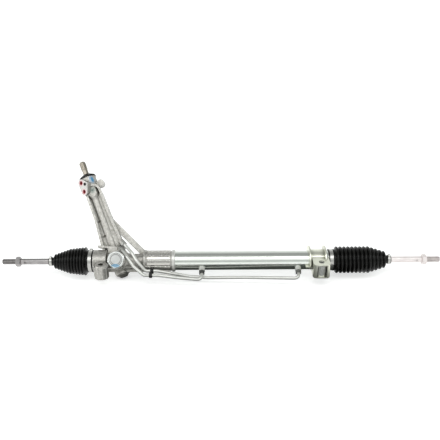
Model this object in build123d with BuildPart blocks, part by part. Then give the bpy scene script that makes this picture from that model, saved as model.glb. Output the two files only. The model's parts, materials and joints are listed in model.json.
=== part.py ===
from build123d import *
import os
from math import acos, cos, degrees, pi, radians, sin, sqrt, tan

os.makedirs("parts", exist_ok=True)

# Power steering rack, in millimetres.
# X runs along the rack towards the right-hand mounting, Z up along the mounting bolts, Y to the rear.
# The origin is the left-hand mounting bore at its seat face.

# ---------------------------------------------------------------- driving sizes
MOUNT_SPACING = 536.0      # left mounting bolt to right mounting bolt
MOUNT_BORE_R = 6.25        # mounting bolt bores
RACK_Y = 42.0              # rack axis behind the mounting bolts
RACK_Z = 19.0              # rack axis above the mounting seats
VALVE_TILT = 37.0          # the valve tower leans to the rear, degrees from upright
VALVE_LEAN = 21.5          # and to the left along the rack, degrees
MESH_X = 34.0              # where the pinion meets the rack

RUNNING = 0.03             # radial clearance of a running fit
SEATED = 0.02              # radial clearance of a piece that stays where it is fitted
SOFT_GAP = 0.3             # between a rubber piece and one that moves

# rack and pinion teeth
MODULE = 1.9               # normal module
TEETH = 7                  # teeth on the pinion
PRESSURE = 20.0            # normal pressure angle, degrees
SHIFT = 0.5                # profile shift of the pinion, in modules
BACKLASH = 0.2             # play between the teeth, along the rack
RACK_R = 13.0              # rack bar
RACK_TIP = 10.4            # tooth tips from the rack axis
GEAR_LENGTH = 30.0         # toothed length of the pinion
TRAVEL_LEFT = 80.0         # rack travel from the rest position
TRAVEL_RIGHT = 40.0
TOOTH_MARGIN = 12.0        # teeth past each end of the travel

# casting along the rack
NECK_LENGTH = 25.0         # mounting bore to the shoulder at the left end
NECK_R = 28.0
NECK_RIGHT = 8.0           # where the neck steps down, right of the mounting bore
SPIGOT_LENGTH = 15.0       # under the cuff of a boot
SPIGOT_R = 24.4
JOINT_CLEARANCE = 2.0      # round a joint housing inside the casting
BARREL_R = 21.0            # round the pinion and the yoke
WAIST_R = 18.0             # between the yoke and the strut
WAIST_START = 24.0         # right of the mesh
RING_X = 101.0             # ring that the strut lands on
RING_WIDTH = 4.0
RING_R = 27.5
SLEEVE_R = 25.0            # casting round the end of the tube
SLEEVE_RIB = 1.5
CASTING_RIGHT = 170.0      # right-hand end of the casting
CHANNEL_R = 14.5           # bore that the rack runs in
MOUNT_BOSS_R = 17.5
MOUNT_BOSS_HEIGHT = 35.0

# cylinder
TUBE_R = 23.75
TUBE_WALL = 2.75
TUBE_INSERT = 12.0         # tube inside the casting
TUBE_PAST_MOUNT = 39.0     # tube beyond the right-hand mounting bore
COLLAR_WIDTH = 8.0
COLLAR_R = 27.5
INNER_SEAL_WIDTH = 14.0
END_BUSH_WIDTH = 28.0
END_BUSH_RECESS = 47.0     # from the right-hand end of the tube to the bush
PISTON_X = 383.0
PISTON_WIDTH = 16.0
PISTON_PLAY = 0.2
PISTON_RING_WIDTH = 4.0
PISTON_RING_DEPTH = 2.0

# cylinder ports, angles measured in the YZ plane from the front, downwards
PORT_ANGLE = 23.0
PORT_LEFT_X = 244.5
PORT_RIGHT_IN = 54.0       # right-hand port to the right-hand mounting
PORT_R = 7.5
PORT_REACH = 33.0          # port face from the rack axis
UNION_LENGTH = 7.0
UNION_AF = 13.0            # across the flats
SPANNER_GAP = 0.8
PIPE_R = 4.0

# rack ends and tie rods
LEFT_BALL_OUT = 23.0       # left ball centre beyond the shoulder of the neck
RIGHT_BALL_OUT = 57.5      # right ball centre beyond the end of the tube
BALL_R = 13.0
SEAT_WALL = 1.7
JOINT_R = 18.0
JOINT_BACK = 20.0          # ball centre to the face on the rack
JOINT_FRONT = 9.0          # ball centre to the lip
STUD_R = 7.0
STUD_LENGTH = 18.0
SEAT_HALF = 7.4            # half the width of the seat ring
ROD_LENGTH = 205.0         # ball centre to the tip of the thread
ROD_R = 7.5
ROD_NECK_R = 6.5
ROD_NECK_LENGTH = 22.0
THREAD_R = 7.0
THREAD_LENGTH = 46.0
THREAD_RUNOUT = 0.1        # the thread is this much shallower under the jam nut
NUT_AF = 22.0
NUT_HEIGHT = 11.0
NUT_FROM_TIP = 34.0
FLATS_WIDTH = 9.0          # spanner flats behind the thread
FLATS_AF = 12.5

# yoke
YOKE_R = 15.0
YOKE_BACK = 22.0           # back of the yoke from the rack axis
YOKE_SEAT_GAP = 0.04
YOKE_BOSS_R = 21.5
YOKE_BOSS_FRONT = 25.5
YOKE_PLUG_R = 16.0
YOKE_PLUG_LENGTH = 13.0
YOKE_PLAY = 0.3            # between the yoke and its plug
YOKE_NUT_AF = 38.5
YOKE_NUT_HEIGHT = 8.0
SPRING_R = 8.0
SPRING_WIRE_R = 1.5

# valve tower, heights measured up the pinion axis from the rack
PINION_BORE_R = 10.5
PINION_SHAFT_R = 8.0
CORE_R = 15.0              # casting round the long shaft
FOOT_R = 19.5              # casting round the bearing below
FOOT_BOTTOM = -32.0
FOOT_TOP = 24.0
BEARING_R = 16.0
BEARING_WIDTH = 9.0
BEARING_SHAFT_R = 7.5
CAP_R = 15.5
UPPER_BUSH_AT = 20.0
PINION_NUT_AF = 17.0
PINION_NUT_HEIGHT = 6.0
PINION_THREAD_R = 5.0
TIP_TRIM = 0.4             # taken off the tips of the pinion's teeth
CAP_CAVITY_R = 12.0
UPPER_BUSH_WIDTH = 12.0
HEAD_TOP = 236.0
HEAD_LENGTH = 52.0
HEAD_R = 20.5
VALVE_BORE_R = 16.0
VALVE_BORE_DEPTH = 52.0
VALVE_SLEEVE_R = 15.9
VALVE_SLEEVE_LENGTH = 34.0
VALVE_SLEEVE_RECESS = 14.0 # below the top of the head
TORSION_BELOW = 20.0       # the torsion bar reaches this far into the pinion
VALVE_RINGS = 4
VALVE_RING_WIDTH = 2.0
VALVE_RING_DEPTH = 1.2
INPUT_R = 9.0              # input shaft inside the valve sleeve
INPUT_SEAL_R = 8.0
INPUT_NECK_R = 7.2
SPLINE_R = 8.1
SPLINE_LENGTH = 21.0
INPUT_REACH = 43.0         # above the top of the head
SPLINES = 20
SPLINE_DEPTH = 0.8
SPLINE_GAP = 0.5
TORSION_R = 2.75
SEAL_WIDTH = 7.0
DUST_CAP_R = 21.5
DUST_CAP_HEIGHT = 7.0
DUST_CAP_WALL = 2.0

# web of the tower and its strut
WEB_FRONT = 11.6           # front of the web, towards the yoke from the pinion axis
WEB_THICKNESS = 15.0
WEB_TOP_LEFT = -18.5       # edges of the web beside the pinion axis
WEB_TOP_RIGHT = 23.5
WEB_FOOT_LEFT = -25.5
WEB_FOOT_RIGHT = 28.0
WEB_FOOT = 52.0            # height where the web is widest
WEB_RIB_WIDTH = 6.0
WEB_RIB_FRONT = 20.0
WEB_KNEE_BELOW = 60.0      # where the web stops narrowing, below the head
ARCH_BELOW = 46.0          # middle of the arch that joins the ribs, below the top of the head
ARCH_R = 20.5
ARCH_RIGHT = 3.0
ARCH_FRONT = 21.2
POCKET_FRONT = 17.8        # floor of the pocket under the arch
POCKET_HEIGHT = 14.0
STRUT_WIDTH = 15.5
STRUT_TOP = 145.0          # height of the strut's centre line on the tower

# pad for the hoses on the left of the head, and the round boss on its right
PAD_TURN = 35.0            # the pad faces left of the yoke, degrees
PAD_BELOW = 28.0           # its middle below the top of the head
PAD_SPACING = 24.0         # between the two hose ports
PAD_REACH = 27.5           # face of the pad from the pinion axis
PAD_FROM = 12.0
PAD_R = 8.8
PAD_BOLT_R = 2.75
PAD_BOLT_RIGHT = 11.2      # bolt hole from the line through the ports
PAD_BOLT_UP = 4.0
PLUG_R = 5.4
PLUG_DEPTH = 9.0
PLATE_THICKNESS = 3.0
SIDE_BOSS_R = 9.5
SIDE_BOSS_RIGHT = 27.0
SIDE_BOSS_BELOW = 29.0     # below the top of the head

# shelf at the foot of the tower, measured from the crossing of the pinion and rack axes
SHELF_LEFT = 50.0
SHELF_TOP = 39.0
SHELF_SIDE = 34.0
SHELF_LIP = 3.0
SHELF_FALLS_AT = 12.0
SHELF_FALL = 10.0
SHELF_RIGHT = 22.0
SHELF_FOOT = 24.0

# right-hand mounting bracket
BRACKET_SHEET = 3.0
BRACKET_RING_SHEET = 4.0
BRACKET_RIM_ROUND = 1.2
BRACKET_RING_R = 36.5
BRACKET_RINGS = (-25.0, 13.0)   # ring plates from the mounting bore
BRACKET_BELOW = 6.0        # rings and saddle end this far below the rack axis
BOX_HALF = 20.5            # half the width of the box round the bush
BOX_FRONT = 16.0           # from the mounting bore to the front of the box
BOX_CORNER = 9.0
WINDOW_HALF = 11.5         # opening in the front of the box
FOOT_OVERHANG = 11.0       # shelf to the left of the first ring plate
FOOT_FRONT = 8.0           # from the mounting bore back to the edge of the shelf
BRACKET_SEAT_STEP = 1.0    # the sleeve stands this far proud of the box below
BOLT_PLAY = 0.75
SLEEVE_WALL = 2.75
BUSH_R = 13.0
BUSH_SHELL_WALL = 1.5

# clip that holds both transfer pipes
CLIP_X = 121.0
CLIP_WIDTH = 10.0
CLIP_WALL = 2.8
CLIP_PLAY = 0.15

# boots
BOOT_WALL = 2.0
CLAMP_THICKNESS = 0.8
BIG_CLAMP_WIDTH = 8.5
SMALL_CUFF_LENGTH = 13.0
SMALL_CUFF_WALL = 2.5
SMALL_CLAMP_WIDTH = 6.0
BIG_CLAMP_AT = 3.0         # from the shoulder to the clamp on the cuff
BOOT_STOP = 2.5            # from the shoulder of the right boot to the bracket side of its cuff
PLEATS_FROM = 17.0         # from the shoulder to the first pleat
PLEAT_DEPTH = 4.2
PLEATED_LENGTH = {"left": 82.0, "right": 127.5}
FIRST_PLEAT_R = {"left": 35.5, "right": 33.5}
LAST_FULL_PLEAT_R = {"left": 31.5, "right": 33.5}
LAST_PLEAT_R = {"left": 18.5, "right": 21.5}
PLEAT_PITCH = {"left": 7.45, "right": 9.8}
FALLING_LENGTH = {"left": 37.0, "right": 39.0}   # pleats that fall away towards the rod

# ---------------------------------------------------------------- planes and derived sizes
tilt = radians(VALVE_TILT)
lean = radians(VALVE_LEAN)
ALONG = Vector(1, 0, 0)
UP_TOWER = Vector(0, sin(tilt), cos(tilt))
TO_YOKE = Vector(0, -cos(tilt), sin(tilt))
PINION_UP = UP_TOWER * cos(lean) - ALONG * sin(lean)
PINION_RIGHT = ALONG * cos(lean) + UP_TOWER * sin(lean)

RACK_AXIS = Axis((0, RACK_Y, RACK_Z), (1, 0, 0))
rack_side = Plane(origin=(0, RACK_Y, RACK_Z), x_dir=(1, 0, 0), z_dir=(0, -1, 0))
face = Plane(origin=(MESH_X, RACK_Y, RACK_Z), x_dir=ALONG, z_dir=TO_YOKE)

rack_datum = RACK_TIP - MODULE
CENTRE_DISTANCE = rack_datum + MODULE * SHIFT + TEETH * MODULE / cos(lean) / 2
pinion_origin = face.origin - TO_YOKE * CENTRE_DISTANCE
tower = Plane(origin=pinion_origin, x_dir=PINION_RIGHT, z_dir=PINION_UP)
tower_side = Plane(origin=pinion_origin, x_dir=PINION_RIGHT, z_dir=TO_YOKE)
PINION_AXIS = Axis(pinion_origin, PINION_UP)

HEAD_BOTTOM = HEAD_TOP - HEAD_LENGTH
WEB_KNEE = HEAD_BOTTOM - WEB_KNEE_BELOW
VALVE_BORE_BOTTOM = HEAD_TOP - VALVE_BORE_DEPTH
VALVE_SLEEVE_TOP = HEAD_TOP - VALVE_SLEEVE_RECESS
VALVE_SLEEVE_BOTTOM = VALVE_SLEEVE_TOP - VALVE_SLEEVE_LENGTH
INPUT_TOP = HEAD_TOP + INPUT_REACH
PAD_AT = HEAD_TOP - PAD_BELOW
SIDE_BOSS_AT = HEAD_TOP - SIDE_BOSS_BELOW
GEAR_FOOT = -GEAR_LENGTH / 2
BUSH_TOP = GEAR_FOOT - 2.5
BUSH_FOOT = BUSH_TOP - BEARING_WIDTH
TUBE_LEFT = CASTING_RIGHT - TUBE_INSERT
TUBE_RIGHT = MOUNT_SPACING + TUBE_PAST_MOUNT
PORT_RIGHT_X = MOUNT_SPACING - PORT_RIGHT_IN
LEFT_BALL_X = -NECK_LENGTH - LEFT_BALL_OUT
RIGHT_BALL_X = TUBE_RIGHT + RIGHT_BALL_OUT
BORE_R = TUBE_R - TUBE_WALL
JOINT_BORE_R = JOINT_R + JOINT_CLEARANCE
SPIGOT_LEFT = -NECK_LENGTH - SPIGOT_LENGTH
RACK_LEFT = LEFT_BALL_X + JOINT_BACK
RACK_RIGHT = RIGHT_BALL_X - JOINT_BACK
COUNTERBORE_END = RACK_LEFT + TRAVEL_RIGHT + JOINT_CLEARANCE * 5
SEAT_R = BALL_R + RUNNING + SEAT_WALL
SOCKET_R = SEAT_R + RUNNING


def across(x):
    """Plane square to the rack at x, its centre on the rack axis."""
    return Plane(origin=(x, RACK_Y, RACK_Z), x_dir=(0, 1, 0), z_dir=(1, 0, 0))


def up_pinion(height):
    """Plane square to the pinion at a height up its axis."""
    return tower.offset(height)


turn = radians(PAD_TURN)
PAD_OUTWARD = TO_YOKE * cos(turn) - PINION_RIGHT * sin(turn)
pad_origin = pinion_origin + PINION_UP * PAD_AT
port_face = Plane(origin=pad_origin, x_dir=PINION_RIGHT * cos(turn) + TO_YOKE * sin(turn), z_dir=PAD_OUTWARD)
HOSE_PORTS = [(0, PAD_SPACING / 2), (0, -PAD_SPACING / 2)]
PAD_BOLT = (PAD_BOLT_RIGHT, PAD_BOLT_UP)


def pad_outline(radius):
    """Outline of the hose pad: two round ends and a lobe for the bolt."""
    with BuildSketch() as outline:
        with Locations(*HOSE_PORTS):
            Circle(radius)
        with Locations(PAD_BOLT):
            Circle(radius - 3)
        make_hull()
    return outline.sketch


def port_plane(x, reach):
    """Plane square to a cylinder port, at a reach from the rack axis."""
    outward = Vector(0, -cos(radians(PORT_ANGLE)), -sin(radians(PORT_ANGLE)))
    centre = Vector(x, RACK_Y, RACK_Z) + outward * reach
    return Plane(origin=centre, x_dir=(1, 0, 0), z_dir=outward)


# ---------------------------------------------------------------- routes of the transfer pipes
# Points are along X, behind the rack axis and above it.
SHORT_ROUTE = [(41.5, 12.0, 27.5), (50.0, -0.5, 27.0), (62.0, -20.0, 22.5), (78.0, -34.0, 5.0),
               (103.0, -47.5, -12.5), (136.0, -47.5, -12.5), (190.0, -51.0, -18.5)]
LONG_ROUTE = [(46.5, 21.0, 40.0), (60.5, 6.5, 34.0), (73.0, -11.0, 29.5), (86.0, -27.5, 16.0),
              (106.0, -34.0, -8.5), (135.0, -34.0, -8.5), (215.0, -34.0, -25.5),
              (262.0, -34.0, -29.0), (350.0, -40.0, -25.0)]
PIPE_TURN = 58.0           # centre line of a pipe's last run from the rack axis
LONG_PIPE_TURN = 55.0
PIPE_BEND = 11.0
VALVE_PORT_R = 7.0


def from_rack(point):
    """Point given beside the rack axis, in the frame of the part."""
    return Vector(point[0], RACK_Y + point[1], RACK_Z + point[2])


def pipe_points(route, port_x, turn):
    """Centre line of a transfer pipe, from the valve to the face of its cylinder port."""
    points = [from_rack(p) for p in route]
    points.append(port_plane(port_x, turn).origin)
    points.append(port_plane(port_x, PORT_REACH).origin)
    return points


# ================================================================ casting
with BuildPart() as rack_housing:
    # barrel along the rack
    with BuildSketch(rack_side):
        with BuildLine():
            Polyline(
                (SPIGOT_LEFT, 0), (SPIGOT_LEFT, SPIGOT_R), (-NECK_LENGTH, SPIGOT_R),
                (-NECK_LENGTH, NECK_R - 1), (1 - NECK_LENGTH, NECK_R), (NECK_RIGHT, NECK_R),
                (NECK_RIGHT + 3, BARREL_R), (MESH_X + WAIST_START, BARREL_R),
                (MESH_X + WAIST_START + 8, WAIST_R), (RING_X - 2, WAIST_R), (RING_X, RING_R),
                (RING_X + RING_WIDTH, RING_R), (RING_X + RING_WIDTH, SLEEVE_R),
                (CASTING_RIGHT, SLEEVE_R), (CASTING_RIGHT, 0), close=True)
        make_face()
    revolve(axis=RACK_AXIS)
    # long ribs round the right-hand sleeve
    with BuildSketch(across(RING_X + RING_WIDTH)):
        with PolarLocations(SLEEVE_R, 10, start_angle=9):
            Rectangle(2 * SLEEVE_RIB, 5)
    extrude(amount=CASTING_RIGHT - RING_X - RING_WIDTH - 4)
    # ribs below and in front of the waist
    with BuildSketch(across(NECK_RIGHT)):
        with PolarLocations((WAIST_R + RING_R) / 2 - 1, 1, start_angle=-63):
            Rectangle(RING_R - WAIST_R + 2, 7)
        with PolarLocations((WAIST_R + RING_R) / 2 - 3, 1, start_angle=-160):
            Rectangle(RING_R - WAIST_R - 2, 5)
        with PolarLocations((WAIST_R + RING_R) / 2 - 1, 1, start_angle=-115):
            Rectangle(RING_R - WAIST_R + 2, 7)
    extrude(amount=RING_X - NECK_RIGHT)
    # left-hand mounting boss with its ribs
    with BuildSketch(Plane.XY):
        Circle(MOUNT_BOSS_R)
        with PolarLocations(MOUNT_BOSS_R, 5, start_angle=180, angular_range=180):
            Rectangle(2, 3)
    extrude(amount=MOUNT_BOSS_HEIGHT - 4)
    with BuildSketch(Plane.XY.offset(MOUNT_BOSS_HEIGHT - 4)):
        Circle(MOUNT_BOSS_R - 1)
    extrude(amount=4, taper=30)
    with BuildSketch(Plane.XY):
        with Locations((0, RACK_Y / 2)):
            Rectangle(MOUNT_BOSS_R, RACK_Y)
    extrude(amount=MOUNT_BOSS_HEIGHT - 6)
    # core of the tower round the pinion
    with BuildSketch(tower_side):
        with BuildLine():
            Polyline(
                (0, FOOT_BOTTOM), (FOOT_R, FOOT_BOTTOM), (FOOT_R, FOOT_TOP), (CORE_R, FOOT_TOP + 8),
                (CORE_R, HEAD_BOTTOM - 12), (HEAD_R, HEAD_BOTTOM), (HEAD_R, HEAD_TOP), (0, HEAD_TOP),
                close=True)
        make_face()
    revolve(axis=PINION_AXIS)
    # flat web of the tower
    with BuildSketch(tower_side.offset(WEB_FRONT)):
        with BuildLine():
            Polyline(
                (WEB_FOOT_LEFT, FOOT_TOP), (WEB_FOOT_LEFT, WEB_FOOT), (WEB_TOP_LEFT, WEB_KNEE),
                (WEB_TOP_LEFT, HEAD_BOTTOM + 12), (WEB_TOP_RIGHT - 4, HEAD_BOTTOM + 16),
                (WEB_TOP_RIGHT, HEAD_BOTTOM - 4), (WEB_TOP_RIGHT + 1, WEB_KNEE),
                (WEB_FOOT_RIGHT, WEB_FOOT), (WEB_FOOT_RIGHT, FOOT_TOP), close=True)
        make_face()
    extrude(amount=-WEB_THICKNESS)
    # strut from the tower to the ring
    strut_top = tower_side.from_local_coords(Vector(0, STRUT_TOP, WEB_FRONT))
    strut_start = face.to_local_coords(strut_top)
    strut_end_x = RING_X + RING_WIDTH - MESH_X - STRUT_WIDTH / 2
    with BuildSketch(tower_side.offset(WEB_FRONT)):
        strut_foot = face.from_local_coords(Vector(strut_end_x, RING_R - 7, strut_start.Z))
        foot_local = tower_side.to_local_coords(strut_foot)
        with BuildLine():
            Line((0, STRUT_TOP), (foot_local.X, foot_local.Y))
        trace(line_width=STRUT_WIDTH)
    extrude(amount=-WEB_THICKNESS)
    # two ribs up the front of the web
    with BuildSketch(tower_side.offset(WEB_FRONT)):
        with BuildLine():
            Polyline(
                (WEB_FOOT_LEFT, FOOT_TOP), (WEB_FOOT_LEFT, WEB_FOOT), (WEB_TOP_LEFT, WEB_KNEE),
                (WEB_TOP_LEFT, HEAD_TOP - ARCH_BELOW), (WEB_TOP_LEFT + WEB_RIB_WIDTH, HEAD_TOP - ARCH_BELOW),
                (WEB_TOP_LEFT + WEB_RIB_WIDTH, WEB_KNEE),
                (WEB_FOOT_LEFT + WEB_RIB_WIDTH, WEB_FOOT), (WEB_FOOT_LEFT + WEB_RIB_WIDTH, FOOT_TOP),
                close=True)
        make_face()
        with BuildLine():
            Polyline(
                (WEB_FOOT_RIGHT, FOOT_TOP), (WEB_FOOT_RIGHT, WEB_FOOT), (WEB_TOP_RIGHT, WEB_KNEE),
                (WEB_TOP_RIGHT, HEAD_TOP - ARCH_BELOW), (WEB_TOP_RIGHT - WEB_RIB_WIDTH, HEAD_TOP - ARCH_BELOW),
                (WEB_TOP_RIGHT - WEB_RIB_WIDTH, WEB_KNEE),
                (WEB_FOOT_RIGHT - WEB_RIB_WIDTH, WEB_FOOT), (WEB_FOOT_RIGHT - WEB_RIB_WIDTH, FOOT_TOP),
                close=True)
        make_face()
    extrude(amount=WEB_RIB_FRONT - WEB_FRONT)
    # arch that joins the ribs round the head, with a pocket under it
    with BuildSketch(tower_side.offset(WEB_FRONT)):
        with Locations((ARCH_RIGHT, HEAD_TOP - ARCH_BELOW)):
            Circle(ARCH_R)
            Circle(ARCH_R - WEB_RIB_WIDTH, mode=Mode.SUBTRACT)
        with Locations((ARCH_RIGHT, HEAD_TOP - ARCH_BELOW - ARCH_R)):
            Rectangle(3 * ARCH_R, 2 * ARCH_R, mode=Mode.SUBTRACT)
    extrude(amount=ARCH_FRONT - WEB_FRONT)
    with BuildSketch(tower_side.offset(POCKET_FRONT)):
        with Locations((ARCH_RIGHT, HEAD_TOP - ARCH_BELOW)):
            Circle(ARCH_R - WEB_RIB_WIDTH)
        with Locations((ARCH_RIGHT, HEAD_TOP - ARCH_BELOW - POCKET_HEIGHT / 2)):
            Rectangle(2 * (ARCH_R - WEB_RIB_WIDTH), POCKET_HEIGHT)
    extrude(amount=ARCH_R, mode=Mode.SUBTRACT)
    # shelf at the foot of the tower
    with BuildSketch(face.offset(-CENTRE_DISTANCE)):
        with BuildLine():
            Polyline(
                (-SHELF_LEFT, SHELF_SIDE), (-SHELF_LEFT, SHELF_TOP), (SHELF_FALLS_AT, SHELF_SIDE),
                (SHELF_RIGHT, SHELF_SIDE - SHELF_FALL), (SHELF_RIGHT, 0), (-SHELF_FOOT, 0),
                (-SHELF_FOOT, SHELF_SIDE - SHELF_LIP), close=True)
        make_face()
    extrude(amount=WEB_RIB_FRONT + 3)
    # yoke boss
    with BuildSketch(face):
        Circle(YOKE_BOSS_R)
    extrude(amount=YOKE_BOSS_FRONT)
    # pad for the pump and return ports, turned to the left of the yoke
    with BuildSketch(port_face.offset(PAD_FROM)):
        add(pad_outline(PAD_R))
    extrude(amount=PAD_REACH - PAD_FROM)
    # round boss on the right of the head
    with BuildSketch(tower_side.offset(-SIDE_BOSS_R)):
        with Locations((SIDE_BOSS_RIGHT, SIDE_BOSS_AT)):
            Circle(SIDE_BOSS_R)
        with Locations((SIDE_BOSS_RIGHT / 2, SIDE_BOSS_AT)):
            Rectangle(SIDE_BOSS_RIGHT, 1.2 * SIDE_BOSS_R)
    extrude(amount=2 * SIDE_BOSS_R)
    # bosses of the two pipe ports on the tower
    for route in (SHORT_ROUTE, LONG_ROUTE):
        start = from_rack(route[0])
        heading = (from_rack(route[1]) - start).normalized()
        with BuildSketch(Plane(origin=start - heading * 8, z_dir=heading)):
            Circle(VALVE_PORT_R)
        extrude(amount=8)
    # room for a spanner round the union of each pipe
    for route in (SHORT_ROUTE, LONG_ROUTE):
        start = from_rack(route[0])
        heading = (from_rack(route[1]) - start).normalized()
        with BuildSketch(Plane(origin=start, z_dir=heading)):
            Circle(UNION_AF / 2 / cos(pi / 6) + SPANNER_GAP)
        extrude(amount=2 * UNION_LENGTH, mode=Mode.SUBTRACT)
    # machined face round the lower cap
    with BuildSketch(up_pinion(FOOT_BOTTOM)):
        Circle(CAP_R + 3)
    extrude(amount=-NECK_R, mode=Mode.SUBTRACT)
    # bores
    with BuildSketch(rack_side):
        with BuildLine():
            Polyline(
                (SPIGOT_LEFT, 0), (SPIGOT_LEFT, JOINT_BORE_R), (COUNTERBORE_END, JOINT_BORE_R),
                (COUNTERBORE_END, CHANNEL_R), (TUBE_LEFT, CHANNEL_R), (TUBE_LEFT, TUBE_R + SEATED),
                (CASTING_RIGHT, TUBE_R + SEATED), (CASTING_RIGHT, 0), close=True)
        make_face()
    revolve(axis=RACK_AXIS, mode=Mode.SUBTRACT)
    with BuildSketch(tower_side):
        with BuildLine():
            Polyline(
                (0, FOOT_BOTTOM), (BEARING_R + SEATED, FOOT_BOTTOM),
                (BEARING_R + SEATED, BUSH_TOP), (PINION_BORE_R, BUSH_TOP),
                (PINION_BORE_R, VALVE_BORE_BOTTOM), (VALVE_BORE_R, VALVE_BORE_BOTTOM),
                (VALVE_BORE_R, HEAD_TOP), (0, HEAD_TOP), close=True)
        make_face()
    revolve(axis=PINION_AXIS, mode=Mode.SUBTRACT)
    with BuildSketch(face):
        Circle(YOKE_R + RUNNING)
    extrude(amount=YOKE_BOSS_FRONT, mode=Mode.SUBTRACT)
    with BuildSketch(face.offset(YOKE_BACK)):
        Circle(YOKE_PLUG_R + SEATED)
    extrude(amount=YOKE_BOSS_FRONT - YOKE_BACK, mode=Mode.SUBTRACT)
    with BuildSketch(Plane.XY):
        Circle(MOUNT_BORE_R)
    extrude(amount=MOUNT_BOSS_HEIGHT, mode=Mode.SUBTRACT)
    with BuildSketch(port_face.offset(PAD_REACH)):
        with Locations(*HOSE_PORTS):
            Circle(PLUG_R + SEATED)
        with Locations(PAD_BOLT):
            Circle(PAD_BOLT_R)
    extrude(amount=-PLUG_DEPTH, mode=Mode.SUBTRACT)
rack_housing.part.label = "rack_housing"
export_step(rack_housing.part, "parts/rack_housing.step")

# ================================================================ cylinder
with BuildPart() as cylinder_tube:
    with BuildSketch(across(TUBE_LEFT)):
        Circle(TUBE_R)
        Circle(BORE_R, mode=Mode.SUBTRACT)
    extrude(amount=TUBE_RIGHT - TUBE_LEFT)
cylinder_tube.part.label = "cylinder_tube"
export_step(cylinder_tube.part, "parts/cylinder_tube.step")

with BuildPart() as tube_collar:
    with BuildSketch(across(CASTING_RIGHT)):
        Circle(COLLAR_R)
        Circle(TUBE_R + SEATED, mode=Mode.SUBTRACT)
    extrude(amount=COLLAR_WIDTH)
    chamfer(tube_collar.edges().filter_by(GeomType.CIRCLE).group_by(SortBy.RADIUS)[-1], 1.2)
tube_collar.part.label = "tube_collar"
export_step(tube_collar.part, "parts/tube_collar.step")

with BuildPart() as cylinder_ports:
    for port_x in (PORT_LEFT_X, PORT_RIGHT_X):
        with BuildSketch(port_plane(port_x, PORT_REACH)):
            Circle(PORT_R)
            Circle(PIPE_R - 1, mode=Mode.SUBTRACT)
        extrude(amount=-(PORT_REACH - BORE_R))
    with BuildSketch(across(TUBE_LEFT)):
        Circle(TUBE_R + SEATED)
    extrude(amount=TUBE_RIGHT - TUBE_LEFT, mode=Mode.SUBTRACT)
cylinder_ports.part.label = "cylinder_ports"
export_step(cylinder_ports.part, "parts/cylinder_ports.step")

with BuildPart() as inner_rack_seal:
    with BuildSketch(across(CASTING_RIGHT)):
        Circle(BORE_R - SEATED)
        Circle(RACK_R + RUNNING, mode=Mode.SUBTRACT)
    extrude(amount=INNER_SEAL_WIDTH)
inner_rack_seal.part.label = "inner_rack_seal"
export_step(inner_rack_seal.part, "parts/inner_rack_seal.step")

with BuildPart() as end_bush:
    with BuildSketch(across(TUBE_RIGHT - END_BUSH_RECESS - END_BUSH_WIDTH)):
        Circle(BORE_R - SEATED)
        Circle(RACK_R + RUNNING, mode=Mode.SUBTRACT)
    extrude(amount=END_BUSH_WIDTH)
    chamfer(end_bush.edges().filter_by(GeomType.CIRCLE).group_by(SortBy.RADIUS)[-1], 1)
end_bush.part.label = "end_bush"
export_step(end_bush.part, "parts/end_bush.step")

# ================================================================ right-hand mounting
right_seat = Plane(origin=(MOUNT_SPACING, 0, 0), x_dir=(1, 0, 0), z_dir=(0, 0, 1))
bracket_floor = right_seat.offset(BRACKET_SEAT_STEP)
BOX_HEIGHT = MOUNT_BOSS_HEIGHT - BRACKET_SEAT_STEP + BRACKET_SHEET
BUSH_LENGTH = BOX_HEIGHT - 2 * BRACKET_SHEET
BUSH_SLEEVE_R = MOUNT_BORE_R + SLEEVE_WALL


def box_outline(inset, mode=Mode.ADD):
    """Outline of the bracket's box, from its round-cornered front back to the rack axis."""
    with Locations((0, (RACK_Y - BOX_FRONT) / 2)):
        RectangleRounded(2 * (BOX_HALF - inset), RACK_Y + BOX_FRONT - 2 * inset, BOX_CORNER - inset, mode=mode)


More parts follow.
